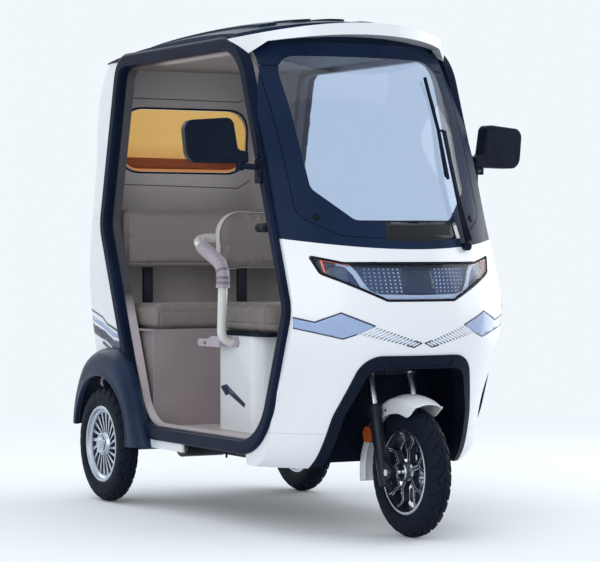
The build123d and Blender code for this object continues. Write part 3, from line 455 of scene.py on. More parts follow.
def rounded(corners, segments=6):
    """A flat outline from (u, v, radius) rows."""
    out = []
    count = len(corners)
    for i, (u, v, radius) in enumerate(corners):
        here = Vector((u, v))
        before, after = Vector(corners[i - 1][:2]), Vector(corners[(i + 1) % count][:2])
        if radius <= 0:
            out.append((u, v))
            continue
        a, b = (before - here).normalized(), (after - here).normalized()
        half = a.angle(b) / 2
        cut = min(radius / math.tan(half), (before - here).length * 0.49, (after - here).length * 0.49)
        for k in range(segments + 1):
            t = k / segments
            p = here + a * cut * (1 - t) ** 2 + b * cut * t**2
            out.append(tuple(p))
    return out


def tube(name, points, finish, radius=0.0, radii=None, body="root", sides=10):
    """A round or tapering capped tube through points."""
    path = [Vector(p) for p in points]
    rows = []
    up = Vector((0.0, 0.0, 1.0))
    for i, p in enumerate(path):
        way = (path[min(i + 1, len(path) - 1)] - path[max(i - 1, 0)]).normalized()
        if abs(way.dot(up)) > 0.95:
            up = Vector((1.0, 0.0, 0.0))
        side = way.cross(up).normalized()
        up = side.cross(way).normalized()
        r = radii[i] if radii else radius
        for k in range(sides):
            a = 2 * math.pi * k / sides
            rows.append(p + side * math.cos(a) * r + up * math.sin(a) * r)
    faces = grid_faces(len(path), sides, round_across=True)
    faces.append(tuple(reversed(range(sides))))
    faces.append(tuple(range((len(path) - 1) * sides, len(path) * sides)))
    return link_mesh(name, (rows, faces), finish, body)


def smooth_path(points, steps):
    """Points on a smooth curve through the given ones."""
    out = []
    for i in range(len(points) - 1):
        p0, p1 = points[max(i - 1, 0)], points[i]
        p2, p3 = points[i + 1], points[min(i + 2, len(points) - 1)]
        for k in range(steps):
            t = k / steps
            square, cube = 2 * p0 - 5 * p1 + 4 * p2 - p3, 3 * p1 - p0 - 3 * p2 + p3
            out.append(0.5 * ((2 * p1) + (p2 - p0) * t + square * t**2 + cube * t**3))
    out.append(points[-1])
    return out


def lathe(name, rows, centre, axis, finish, body, sides, ring):
    """Turns (distance along the axis, radius) rows into a solid, or into a ring where they close."""
    axis = Vector(axis).normalized()
    side = axis.orthogonal().normalized()
    other = axis.cross(side)
    bm = bmesh.new()
    made = []
    for along, radius in rows:
        for k in range(sides):
            a = 2 * math.pi * k / sides
            out = side * math.cos(a) + other * math.sin(a)
            made.append(bm.verts.new(Vector(centre) + axis * along / 1000 + out * radius / 1000))
    faces = grid_faces(len(rows), sides, round_rows=ring, round_across=True)
    if not ring:
        faces.append(tuple(reversed(range(sides))))
        faces.append(tuple(range((len(rows) - 1) * sides, len(rows) * sides)))
    for face in faces:
        bm.faces.new([made[i] for i in face])
    bmesh.ops.recalc_face_normals(bm, faces=bm.faces[:])
    piece = link_mesh(name, bm, finish, body)
    sharp = piece.modifiers.new("edges", "EDGE_SPLIT")
    sharp.split_angle = math.radians(32)
    return piece


def turned(name, rows, centre, axis, finish, body="root", sides=32):
    """A turned solid from (distance along the axis, radius) rows, in mm."""
    return lathe(name, rows, centre, axis, finish, body, sides, ring=False)


def hoop(name, rows, centre, axis, finish, body="root", sides=96):
    """A ring turned from a closed outline of (distance along the axis, radius) rows, in mm."""
    return lathe(name, rows, centre, axis, finish, body, sides, ring=True)


def evaluated(piece):
    """The piece's mesh with its modifiers, as a new mesh."""
    graph = bpy.context.evaluated_depsgraph_get()
    return bpy.data.meshes.new_from_object(piece.evaluated_get(graph))


def apply_all(piece):
    """Puts the modifiers into the mesh."""
    old, name = piece.data, piece.data.name
    mesh = evaluated(piece)
    piece.modifiers.clear()
    piece.data = mesh
    bpy.data.meshes.remove(old)
    mesh.name = name


class FinishSettings(bpy.types.PropertyGroup):
    gloss: bpy.props.FloatProperty(
        name="White roughness", description="Roughness of the white panels", default=0.24, min=0.02, max=1.0,
        subtype="FACTOR"
    )


class RailSettings(bpy.types.PropertyGroup):
    grip_size: bpy.props.FloatProperty(
        name="Grip thickness", description="Thickness of the handrail's grips against the real one", default=1.0,
        min=0.9, max=1.1, subtype="FACTOR"
    )


class StageSettings(bpy.types.PropertyGroup):
    backdrop: bpy.props.FloatVectorProperty(
        name="Backdrop", description="Colour of the backdrop", default=(0.880, 0.935, 0.973), subtype="COLOR", size=3
    )


class MOPED_OT_finishes(bpy.types.Operator):
    """Gives every CAD node the material of its slot"""

    bl_idname = "moped.finishes"
    bl_label = "Finishes"

    def execute(self, context):
        gloss = context.scene.moped_finish.gloss
        finishes["body_white"] = gloss_paint("body_white", *BODY_WHITE, gloss, BODY_COAT)
        for maker, name, *rest in FINISHES:
            sockets = rest.pop() if rest and isinstance(rest[-1], dict) else {}
            finishes[name] = maker(name, *rest, **sockets)
        for row in frame["record"]["subparts"]:
            node = frame["nodes"][row["node"]]
            node.data.materials.clear()
            node.data.materials.append(finishes[NODE_FINISH.get(row["node"], row["material_slot"])])
        return {"FINISHED"}


# Painted graphics on the panels

NOSE_AXIS = 0.30
BAND_TOP = ((43.0, 723), (36.0, 708), (27.6, 738), (16.7, 695))
BAND_LOW = ((43.0, 689), (34.9, 672), (27.0, 654), (22.4, 669))
HATCH_TOP = ((16.7, 694), (0.7, 638))
HATCH_LOW = ((21.9, 668), (3.4, 625))
HATCH_COUNT = 15
NOSE_GRID = (1.5, 12.0)
REAR_STRIPES = (
    # on the flank, as (X, Z) in mm
    ("navy", "decal_navy", (
        ((-640, 640), (-760, 668), (-800, 690), (-800, 684), (-760, 660), (-640, 629)),
        ((-604, 600), (-700, 606), (-790, 640), (-800, 640), (-800, 606), (-760, 598), (-690, 572), (-604, 566)),
        ((-600, 548), (-700, 566), (-790, 598), (-800, 596), (-800, 588), (-700, 556), (-600, 538)),
    )),
    ("blue", "decal_blue", (
        ((-612, 628), (-700, 636), (-800, 668), (-800, 650), (-700, 616), (-612, 608)),
        ((-602, 562), (-690, 569), (-760, 594), (-700, 575), (-602, 553)),
    )),
)
CORNER_STRIPES = (
    # round the rear corner, as (degrees back from the side, Z in mm)
    ("decal_navy", ((0, 690), (26, 715), (52, 726), (52, 721), (26, 708), (0, 684))),
    ("decal_navy", ((0, 640), (26, 662), (52, 672), (52, 640), (26, 628), (0, 606))),
    ("decal_blue", ((0, 668), (26, 690), (52, 702), (52, 684), (26, 673), (0, 650))),
)


def nose_line(points, width):
    """A line on the nose: points are (degrees, mm), and one degree is about ten millimetres."""
    flat = ribbon([(a * 10.0, z) for a, z in points], width)
    return [[(u / 10.0, v) for u, v in loop] for loop in flat]


def between(a, b, t):
    return tuple(p + (q - p) * t for p, q in zip(a, b))


def mirrored(loops, side):
    return [[(side * u, v) for u, v in loop] for loop in loops]


class MOPED_OT_graphics(bpy.types.Operator):
    """Lays the striped graphics on the nose, the rear corners and the seat box"""

    bl_idname = "moped.graphics"
    bl_label = "Graphics"

    def execute(self, context):
        nose = cast_round(surface_of("front_fascia"), NOSE_AXIS)
        for side, word in SIDES:
            fill = [list(BAND_TOP) + list(reversed(BAND_LOW))]
            wrap(f"nose_band_{word}", mirrored(fill, side), nose, 0.0004, NOSE_GRID, "decal_blue")
            lines = nose_line(BAND_TOP, 5.0) + nose_line(BAND_LOW, 4.0)
            wrap(f"nose_band_lines_{word}", mirrored(lines, side), nose, 0.0008, NOSE_GRID, "decal_navy")
            dark, pale = [], []
            for i in range(HATCH_COUNT):
                t = i / (HATCH_COUNT - 1)
                width = 1.4 + 3.4 * t
                high, low = between(*HATCH_TOP, t), between(*HATCH_LOW, t)
                dark += nose_line((high, between(high, low, 0.2)), width)
                dark += nose_line((low, between(low, high, 0.22)), width)
                pale += nose_line((between(high, low, 0.2), between(low, high, 0.22)), width * 0.8)
            dark += nose_line((between(*HATCH_TOP, 0.86), HATCH_TOP[1], HATCH_LOW[1], between(*HATCH_LOW, 0.86)), 4.0)
            wrap(f"nose_hatch_{word}", mirrored(dark, side), nose, 0.0006, NOSE_GRID, "decal_navy")
            wrap(f"nose_hatch_fill_{word}", mirrored(pale, side), nose, 0.0005, NOSE_GRID, "decal_blue")
            self.rear_corner(side, word)
        self.seat_sticker()
        return {"FINISHED"}

    def rear_corner(self, side, word):
        """Sweeping stripes low on the rear corner, over the fender."""
        tree = surface_of("rear_body")
        flank = cast_along(tree, (0, -side, 0), side * 1.0)
        corner = cast_round(tree, -0.80, side * 0.20)
        for name, finish, loops in REAR_STRIPES:
            shapes = [list(loop) for loop in loops]
            wrap(f"rear_stripe_{name}_{word}", shapes, flank, 0.0005, (18.0, 18.0), finish)
        for i, (finish, loop) in enumerate(CORNER_STRIPES):
            swept = [(side * (90 + a), z) for a, z in loop]
            wrap(f"corner_stripe_{i}_{word}", [swept], corner, 0.0005, (4.0, 18.0), finish)

    def seat_sticker(self):
        """A plain slanted sticker on the right side of the seat box."""
        side = cast_along(surface_of("seat_box"), (0, 1, 0), -1.0)
        shape = [
            [(-219, 450), (-173, 459), (-26, 396), (-35, 382), (-156, 424), (-182, 417), (-217, 444)],
            ribbon(((-276, 483), (-204, 447)), 3.0)[0],
        ]
        wrap("seat_box_sticker", shape, side, 0.0004, (30.0, 30.0), "decal_navy")


# Head lamp

BAND_LINE = (
    (29.3, 903), (25.9, 896), (22.9, 866), (20.6, 829), (18.2, 800), (14.4, 790),
    (0.0, 787), (-14.4, 790), (-18.2, 800), (-20.6, 829), (-22.9, 866), (-25.9, 896), (-29.3, 903),
)
LAMP_EDGE = ((124.0, 778.0, 28.0), (316.5, 866.5, 20.0), (337.0, 918.0, 7.0), (250.0, 897.5, 28.0))
LAMP_INNER = ((0.0, 777), (14.3, 779), (33.2, 847), (36.6, 920), (24.6, 897), (0.0, 892))


class MOPED_OT_headlamp(bpy.types.Operator):
    """Fills the lamp bar behind its lens with reflectors, dots, strips and projector lamps"""

    bl_idname = "moped.headlamp"
    bl_label = "Head lamp"

    def execute(self, context):
        lens = cast_round(surface_of("headlamp_lens"), NOSE_AXIS)
        back = list(LAMP_INNER) + [(-a, z) for a, z in reversed(LAMP_INNER[1:-1])]
        wrap("lamp_reflector", [back], lens, -0.020, NOSE_GRID, "lamp_back")
        middle = [(-5.6, 884), (-6.2, 800), (6.2, 800), (5.6, 884)]
        wrap("lamp_middle_panel", [middle], lens, -0.0165, NOSE_GRID, "lamp_dark")
        outline = [(a * 10.0, z) for a, z in back]
        rim = [[(u / 10.0, v) for u, v in loop] for loop in ribbon(outline, 7.0, closed=True)]
        wrap("lamp_inner_rim", rim, lens, -0.0075, NOSE_GRID, "rubber_black", thick=0.002)
        ahead = cast_along(surface_of("headlamp_lens"), (-1, 0, 0), 2.0)
        edge = rounded(list(LAMP_EDGE) + [(-y, z, r) for y, z, r in reversed(LAMP_EDGE)])
        wrap("lamp_gasket", ribbon(edge, 5.5, closed=True), ahead, 0.0005, (14.0, 14.0), "rubber_black", thick=0.001)
        wrap("lamp_light_band", nose_line(BAND_LINE, 17.0), lens, -0.011, (1.0, 8.0), "lamp_band", thick=0.003)
        wrap("lamp_dots", self.dots(), lens, -0.0185, (3.0, 30.0), "lamp_dot", thick=0.001)
        for side, word in SIDES:
            strip = ((25.0, 896), (28.4, 901), (34.6, 911), (32.9, 868))
            wrap(f"lamp_corner_strip_{word}", mirrored(nose_line(strip, 7.5), side), lens, -0.006, NOSE_GRID,
                 "lamp_strip", thick=0.002)
            point, normal = lens(side * 30.4, 864)
            aim = Vector((1.0, 0.0, 0.0))
            centre = point - aim * 0.034 - Vector((0, side * 0.004, 0))
            turned(f"lamp_bezel_{word}", ((0, 26), (9, 27), (10, 25), (4, 22), (3, 2)), centre, aim, "lamp_dark")
            turned(f"lamp_bulb_{word}", ((3, 21), (9, 20), (14, 16), (18, 9), (19.5, 1)), centre, aim, "lamp_bulb")
        return {"FINISHED"}

    def dots(self):
        """The field of small four-sided reflectors on both sides of the middle panel."""
        dots = []
        for side in (-1, 1):
            for row in range(7):
                for column in range(8 if row < 5 else 7):
                    a = 7.6 + column * 1.72 - row * 0.12
                    z = 884 - row * 12.4
                    size = 3.4 - 0.18 * column
                    dots.append([
                        (side * (a + across * size / 10.0), z + up * size)
                        for across, up in ((-0.7, -1.0), (0.9, -0.2), (0.5, 1.0), (-1.0, 0.3))
                    ])
        return dots


# Tyres


TYRE_HALF = (
    # half the section from the bead out to the crown, as (across, radius) in mm
    (26.0, 141.6), (31.5, 142.5), (36.2, 148.0), (38.4, 157.0), (39.0, 168.0), (38.4, 178.0),
    (36.4, 188.0), (33.0, 196.5), (28.4, 203.2), (22.0, 208.8), (14.0, 212.6), (6.0, 214.6), (0.0, 215.0),
)
TYRE_STEPS = 420
TREAD_FROM = 186.0
TREAD_HALF = 36.0
TREAD_DEPTH = 5.5
TREAD_PITCHES = 26
SIDEWALL_LINES = (152.5, 158.0, 183.0)
TYRES = (
    ("front_tyre", "front_wheel"),
    ("rear_tyre_right", "rear_wheel_right"),
    ("rear_tyre_left", "rear_wheel_left"),
)


def groove(distance, width):
    """1 in the middle of a groove, falling to 0 at its edge."""
    return max(0.0, min(1.0, (width - distance) / (width * 0.35)))


def tread_depth(turn, across):
    """How deep the tread is cut, 0 to 1, at a turn (0 to 1) and a place across (-1 to 1)."""
    phase = turn * TREAD_PITCHES
    reach = abs(across)
    shift = phase + (0.5 if across < 0 else 0.0)
    wave = 0.10 * math.sin(2 * math.pi * phase)
    cut = groove(abs(across - wave), 0.06)
    slant = (shift + reach * 1.25 - 0.35 * reach * reach) % 1.0
    if reach > 0.16:
        cut = max(cut, groove(min(slant, 1.0 - slant), 0.12) * min(1.0, (reach - 0.16) / 0.05))
    counter = (shift - reach * 0.9 + 0.45) % 1.0
    if 0.42 < reach < 0.78:
        cut = max(cut, groove(min(counter, 1.0 - counter), 0.09))
    return cut


def tyre_shape(centre):
    half = smooth_path([Vector(p) for p in TYRE_HALF], 4)
    section = [(p.x, p.y) for p in half]
    section += [(-x, r) for x, r in reversed(section[:-1])]
    points = []
    for i in range(TYRE_STEPS):
        turn = i / TYRE_STEPS
        for x, r in section:
            if r > TREAD_FROM:
                depth = TREAD_DEPTH * tread_depth(turn, x / TREAD_HALF) * min(1.0, (r - TREAD_FROM) / 8.0)
                radius, across = r - depth, x - math.copysign(depth * 0.25, x)
            else:
                lines = sum(max(0.0, 1.0 - abs(r - at) / 1.6) for at in SIDEWALL_LINES)
                radius, across = r, x - math.copysign(lines * 0.7, x)
            points.append(round_axle(centre, 2 * math.pi * turn, radius, centre[1] + across / 1000))
    return points, grid_faces(TYRE_STEPS, len(section), round_rows=True, round_across=True)


class MOPED_OT_tyres(bpy.types.Operator):
    """Moulds the three tyres with their cut tread and sidewall lines"""

    bl_idname = "moped.tyres"
    bl_label = "Tyres"

    def execute(self, context):
        for node, body in TYRES:
            tyre = link_mesh(f"{node}_treaded", tyre_shape(middle_of(node)), "tyre", body)
            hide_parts(node)
        return {"FINISHED"}


# Cushions

CUSHIONS = (
    # node, shrink across each way in mm, most growth in mm, fill
    ("bench_cushion", 5.0, 9.0, 0.8),
    ("bench_backrest", 5.0, 9.0, 0.8),
    ("seat_cushion", 5.0, 9.0, 0.85),
    ("seat_backrest", 4.0, 8.0, 0.85),
)
VOXEL = 0.006
PRESSURE = 4.0
CLOTH_FRAMES = 20
SEAM_WIDTH = 0.0042
SEAM_DEPTH = 0.0035


def seam_distance(node, p, low, high):
    """How far a point of a cushion is from the nearest sewn line, in metres."""
    if node == "bench_cushion":
        return min(abs(abs(p.y) - 0.318), abs(p.z - (high.z - 0.024)) if p.x > high.x - 0.03 else 1.0)
    if node == "bench_backrest":
        return min(abs(abs(p.y) - 0.318), abs(p.z - (low.z + 0.030)) if p.x > high.x - 0.03 else 1.0)
    if node == "seat_cushion":
        return min(abs(p.x - (high.x - 0.045)), abs(p.z - (low.z + 0.030)))
    inner = max(abs(p.y) - 0.130, p.z - (high.z - 0.036), (low.z + 0.030) - p.z)
    return abs(inner) + 0.005 if p.x > high.x - 0.02 else abs(p.x - (low.x + 0.024))


def sewn(piece, node):
    """Draws the surface in along the sewn lines."""
    low, high = (Vector(v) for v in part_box(node))
    normals = [v.normal.copy() for v in piece.data.vertices]
    for v, normal in zip(piece.data.vertices, normals):
        near = seam_distance(node, v.co, low, high) / SEAM_WIDTH
        if near < 3.0:
            v.co -= normal * SEAM_DEPTH * math.exp(-near * near)


def blown_up(piece, cap):
    """Blows the closed mesh up as cloth, with each point's travel capped."""
    start = [v.co.copy() for v in piece.data.vertices]
    cloth = piece.modifiers.new("cloth", "CLOTH")
    cloth.settings.use_pressure = True
    cloth.settings.uniform_pressure_force = PRESSURE
    cloth.settings.effector_weights.gravity = 0.0
    cloth.settings.tension_stiffness = 25.0
    cloth.settings.compression_stiffness = 25.0
    cloth.settings.bending_stiffness = 2.0
    cloth.collision_settings.use_collision = False
    cloth.point_cache.frame_start = 1
    cloth.point_cache.frame_end = CLOTH_FRAMES
    scene = bpy.context.scene
    for number in range(1, CLOTH_FRAMES + 1):
        scene.frame_set(number)
    grown = evaluated(piece)
    moved = [v.co.copy() for v in grown.vertices]
    piece.modifiers.clear()
    bpy.data.meshes.remove(grown)
    scene.frame_set(1)
    for v, before, after in zip(piece.data.vertices, start, moved):
        step = after - before
        v.co = before + (step * (cap / step.length) if step.length > cap else step)


class MOPED_OT_cushions(bpy.types.Operator):
    """Makes the four padded cushions as blown-up, sewn covers, and the shell behind the driver's back"""

    bl_idname = "moped.cushions"
    bl_label = "Cushions"

    def execute(self, context):
        for node, shrink, cap, fill in CUSHIONS:
            self.cushion(node, shrink / 1000, cap / 1000, fill)
        return {"FINISHED"}

    def cushion(self, node, shrink, cap, fill):
        low, high = (Vector(v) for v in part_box(node))
        middle, half = (low + high) / 2, (high - low) / 2
        source = frame["nodes"][node]
        mesh = source.data.copy()
        scale = Vector((h - shrink) / h for h in half)
        for v in mesh.vertices:
            at = source.matrix_world @ v.co
            v.co = middle + Vector(a * b for a, b in zip(at - middle, scale))
        mesh.materials.clear()
        mesh.materials.append(finishes["seat_leather"])
        piece = bpy.data.objects.new(f"{node}_cover", mesh)
        bpy.context.scene.collection.objects.link(piece)
        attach(piece, "root")
        voxels = piece.modifiers.new("voxels", "REMESH")
        voxels.mode = "VOXEL"
        voxels.voxel_size = VOXEL
        ease = piece.modifiers.new("ease", "SMOOTH")
        ease.factor = 0.5
        ease.iterations = 6
        apply_all(piece)
        blown_up(piece, cap)
        finer = piece.modifiers.new("finer", "SUBSURF")
        finer.levels = finer.render_levels = 1
        apply_all(piece)
        sewn(piece, node)
        for v in piece.data.vertices:
            v.co = Vector(min(max(c, a - 0.004), b + 0.004) for c, a, b in zip(v.co, low, high))
        piece.data.polygons.foreach_set("use_smooth", [True] * len(piece.data.polygons))
        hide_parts(node)
        if node == "seat_backrest":
            self.back_shell(piece, low)

    def back_shell(self, cover, low):
        """The pale moulded shell that holds the driver's backrest from behind."""
        bm = bmesh.new()
        bm.from_mesh(cover.data)
        cut = Vector((low.x + 0.046, 0, 0))
        bmesh.ops.bisect_plane(
            bm, geom=bm.verts[:] + bm.edges[:] + bm.faces[:], plane_co=cut, plane_no=Vector((1, 0, 0)), clear_outer=True
        )
        bm.normal_update()
        for v in bm.verts:
            v.co += v.normal * 0.0022
        shell = link_mesh("seat_back_shell", bm, "shell_pale")
        thicken(shell, 0.0016, 1.0)


# Handrail

BEND_STEPS = 16
GRIP_RINGS = 8
GRIP_PITCH = 0.0205
GRIP_BANDS = (0.019, 0.036, 0.060)
RAIL_Y = 0.240


def resample(points, step):
    """Evenly spaced points along a line, with their distances from its start."""
    out, at, carried = [(Vector(points[0]), 0.0)], 0.0, 0.0
    for a, b in zip(points, points[1:]):
        a, b = Vector(a), Vector(b)
        length = (b - a).length
        if length == 0:
            continue
        place = step - carried
        while place <= length:
            out.append((a + (b - a) * (place / length), at + place))
            place += step
        carried = length - (place - step)
        at += length
    return out


def rounded_bend(before, corner, after, radius):
    """Points along a run, a bend of this radius and the next run."""
    before, corner, after = Vector(before), Vector(corner), Vector(after)
    a, b = (before - corner).normalized(), (after - corner).normalized()
    half = a.angle(b) / 2
    cut = radius / math.tan(half)
    middle = corner + (a + b).normalized() * (radius / math.sin(half))
    first, last = corner + a * cut - middle, corner + b * cut - middle
    turn = first.angle(last)
    bend = []
    for k in range(BEND_STEPS + 1):
        t = k / BEND_STEPS
        bend.append(middle + (first * math.sin((1 - t) * turn) + last * math.sin(t * turn)) / math.sin(turn))
    return [before] + bend + [after]


class MOPED_OT_handrail(bpy.types.Operator):
    """Moulds the ribbed grips of the handrail and its slotted ears"""

    bl_idname = "moped.handrail"
    bl_label = "Handrail"

    def execute(self, context):
        settings = context.scene.moped_rail
        for side, word in SIDES:
            elbow = Vector((-0.096, side * RAIL_Y, 0.885))
            low = Vector((-0.112, side * RAIL_Y, 0.612))
            back = Vector((-0.3553, side * RAIL_Y, 0.985))
            start = elbow + (low - elbow).normalized() * 0.078
            end = elbow + (back - elbow).normalized() * 0.190
            path = resample(rounded_bend(start, elbow, end, 0.066), 0.0012)
            total = path[-1][1]
            points = [p for p, _ in path]
            radii = [self.grip_radius(at, total) * settings.grip_size for _, at in path]
            grip = tube(f"handrail_grip_{word}", points, "grip_grey", radii=radii, sides=28)
            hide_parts("handrail_grips")
            for i, at in enumerate(GRIP_BANDS):
                self.band(f"handrail_band_{i}_{word}", path, at, (3, 4), 0.0252)
            ribbed = total - GRIP_RINGS * GRIP_PITCH
            for i in range(GRIP_RINGS):
                self.band(f"handrail_valley_{i}_{word}", path, ribbed + i * GRIP_PITCH, (1, 3), 0.0229)
            self.ear(side, word)
        return {"FINISHED"}

    def band(self, name, path, at, reach, radius):
        """A dark band round the grip, so many path points before and after a distance along its path."""
        near = min(range(len(path)), key=lambda n: abs(path[n][1] - at))
        tube(name, [p for p, _ in path[near - reach[0]:near + reach[1]]], "grip_dark", radius, sides=28)

    def grip_radius(self, at, total):
        if at < 0.010:
            return 0.0262 - 0.0022 * (at / 0.010)
        ribbed = total - GRIP_RINGS * GRIP_PITCH
        if at > ribbed:
            t = ((at - ribbed) % GRIP_PITCH) / GRIP_PITCH
            end = min(1.0, (total - at) / 0.006)
            return (0.0212 + 0.0040 * math.sqrt(max(0.0, math.sin(math.pi * t)))) * (0.86 + 0.14 * end)
        return 0.0232

    def ear(self, side, word):
        """The slotted plate that stands back from the foot of the handrail."""
        outline = rounded(
            [(-296, 594, 14), (-120, 594, 4), (-120, 633, 10), (-180, 633, 8), (-215, 622, 10), (-296, 620, 13)]
        )
        slot = rounded([(-252, 600, 6), (-226, 600, 6), (-226, 613, 6), (-252, 613, 6)])
        bm = bmesh.new()
        loops = []
        for loop in (outline, slot):
            verts = [bm.verts.new((u / 1000, side * 0.2425, v / 1000)) for u, v in loop]
            loops += [bm.edges.new((verts[i], verts[(i + 1) % len(verts)])) for i in range(len(verts))]
        bmesh.ops.triangle_fill(bm, use_beauty=True, use_dissolve=False, edges=loops)
        thicken(link_mesh(f"handrail_ear_{word}", bm, "grip_grey", smooth=False), 0.005)


# Front mudguard, as (degrees from straight ahead, crown radius, skirt's edge radius) in mm

GUARD_ROWS = (
    (63.0, 254.0, 243.0), (64.5, 254.3, 226.0), (67.0, 254.5, 208.0), (71.0, 254.5, 193.0), (76.0, 254.5, 188.0),
    (89.0, 254.0, 190.0), (103.0, 253.5, 192.0), (117.0, 253.0, 197.0), (135.0, 253.0, 201.0), (155.0, 254.5, 206.0),
    (165.0, 260.0, 209.0), (174.0, 266.0, 211.0), (183.0, 270.0, 213.0), (191.0, 272.0, 214.0),
)
GUARD_HALF = 52.0


class MOPED_OT_mudguard(bpy.types.Operator):
    """Shapes the crowned front mudguard with its deep skirts"""

    bl_idname = "moped.mudguard"
    bl_label = "Front mudguard"

    def execute(self, context):
        centre = middle_of("front_tyre")
        fine = smooth_path([Vector(r) for r in GUARD_ROWS], 8)
        points = []
        for angle, crown, edge in fine:
            section = []
            for k in range(13):
                y = GUARD_HALF * 0.80 * k / 12
                section.append((y, crown - 15.0 * (y / GUARD_HALF) ** 2.1))
            y0, r0 = section[-1]
            turn_r = min(14.0, max(2.0, r0 - edge))
            for k in range(1, 9):
                a = math.radians(90 * k / 8)
                section.append((y0 + (GUARD_HALF - y0) * math.sin(a), r0 - turn_r * (1 - math.cos(a))))
            foot = section[-1][1]
            for k in range(1, 9):
                t = k / 8
                section.append((GUARD_HALF + 0.7 * math.sin(math.pi * t), foot + (min(edge, foot - 0.5) - foot) * t))
            full = [(-y, r) for y, r in reversed(section)] + section[1:]
            points += [round_axle(centre, math.radians(angle), r, centre[1] + y / 1000) for y, r in full]
        faces = grid_faces(len(fine), len(full))
        guard = link_mesh("front_mudguard_dome", (points, faces), "body_white", "steering")
        thicken(guard, -0.0026, 1.0)
        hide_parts("front_mudguard")
        for side, word in SIDES:
            at = Vector((0.727, side * 0.0523, 0.4125))
            turned(f"mudguard_screw_{word}", ((0, 5), (1.6, 5), (2.2, 3.4), (2.2, 0.5)), at, (0, side, 0),
                   "rubber_black", "steering", sides=20)
        return {"FINISHED"}


# Wheels

SPOKES = 5
NUTS = 5


def spun(points, angle):
    c, s = math.cos(math.radians(angle)), math.sin(math.radians(angle))
    return [(u * c + v * s, -u * s + v * c) for u, v in points]


class MOPED_OT_wheels(bpy.types.Operator):
    """Adds the machined edges, lips, hubs and nuts of the three rims"""

    bl_idname = "moped.wheels"
    bl_label = "Rims"

    def execute(self, context):
        self.front_lines()
        for side, word in SIDES:
            self.rear_hub(side, word)
        return {"FINISHED"}

    def front_lines(self):
        centre = Vector(middle_of("front_rim"))
        stem = ((6.2, 33), (5.6, 64), (32.3, 98.5), (32.3, 127))
        fork = ((24.7, 127), (24.7, 101.5), (0, 72.5), (-24.7, 101.5), (-24.7, 127))
        for side, word in SIDES:
            look = cast_along(surface_of("front_rim"), (0, -side, 0), side * 1.0)
            loops = []
            for i in range(SPOKES):
                for line in (stem, tuple((-u, v) for u, v in stem), fork):
                    row = [(centre.x * 1000 + u, centre.z * 1000 + v) for u, v in spun(line, 360 / SPOKES * i)]
                    loops += ribbon(row, 2.4)
            wrap(f"front_rim_lines_{word}", loops, look, 0.0004, (12.0, 12.0), "steel_bright", "front_wheel",
                 thick=0.0006, longest=0.021)
            lip = ((29.6, 132), (31.4, 133), (31.6, 138), (30.4, 141.2), (29.4, 141.2), (29.2, 134))
            hoop(f"front_rim_lip_{word}", lip, centre, (0, side, 0), "steel_bright", "front_wheel")
            hub = (
                (11.6, 30.3), (11.6, 32.2), (37, 31.8), (40, 30.6), (42.2, 28.5), (42.2, 12.0), (42.0, 12.0),
                (42.0, 30.3),
            )
            hoop(f"front_hub_sleeve_{word}", hub, centre, (0, side, 0), "steel_bright", "front_wheel", sides=64)

    def rear_hub(self, side, word):
        body = f"rear_wheel_{word}"
        centre = Vector(middle_of(f"rear_tyre_{word}"))
        out = (0, side, 0)
        lip = ((29.4, 130.5), (32.6, 131.5), (34.0, 135.5), (33.2, 140.5), (31.0, 143.2), (29.2, 143.0))
        hoop(f"rear_rim_lip_{word}", lip, centre, out, "alloy", body)
        cone = (
            (16.4, 47.0), (19.0, 46.0), (23.0, 43.0), (27.0, 41.0), (29.5, 36.0), (34.0, 24.0), (39.0, 18.0),
            (41.5, 15.0), (42.5, 8.0), (42.5, 0.5),
        )
        turned(f"rear_hub_cone_{word}", cone, centre, out, "alloy", body, sides=72)
        for i in range(NUTS):
            a = math.radians(360 / NUTS * i + 18)
            at = centre + Vector((math.cos(a) * 0.0345, 0, math.sin(a) * 0.0345))
            turned(f"rear_nut_{i}_{word}", ((26, 6.5), (34.5, 6.5), (35.5, 5.6), (35.5, 3.6), (39.5, 3.2), (40, 2.4)),
                   at, out, "steel_bright", body, sides=6)
        drum = ((-27.5, 66.0), (-26.0, 100.0), (-6.0, 104.0), (2.6, 103.0), (2.6, 36.0), (-4.0, 36.0), (-6.0, 60.0))
        hoop(f"rear_drum_{word}", drum, centre, out, "frame_metal", body)


# Rear fenders, as (degrees from straight ahead, outer radius, arch radius, inner edge from the middle plane) in mm

FENDER_ROWS = (
    (1.5, 355.0, 247.0, 398.5), (4.0, 352.0, 248.0, 398.5), (12.0, 338.0, 251.0, 398.5),
    (24.0, 328.0, 255.0, 398.5), (34.0, 328.0, 256.0, 398.5), (44.0, 336.0, 257.0, 398.5),
    (54.0, 350.0, 257.0, 398.5), (66.0, 365.0, 257.0, 398.5), (77.0, 364.0, 257.0, 398.5),
    (88.0, 358.0, 257.0, 398.5), (102.0, 351.0, 257.0, 398.5), (118.0, 342.0, 256.0, 398.5),
    (128.0, 326.0, 252.0, 392.0), (138.0, 309.0, 247.0, 380.0), (150.0, 292.0, 242.0, 366.0),
    (158.0, 282.0, 239.0, 360.0), (165.0, 274.0, 237.0, 356.0),
)
FENDER_OUTER = 453.5
LINER_FROM = 62.0
LINER_ACROSS = (FENDER_OUTER - 12.0, 425.0, 400.0, 370.0, 340.0, 310.0)


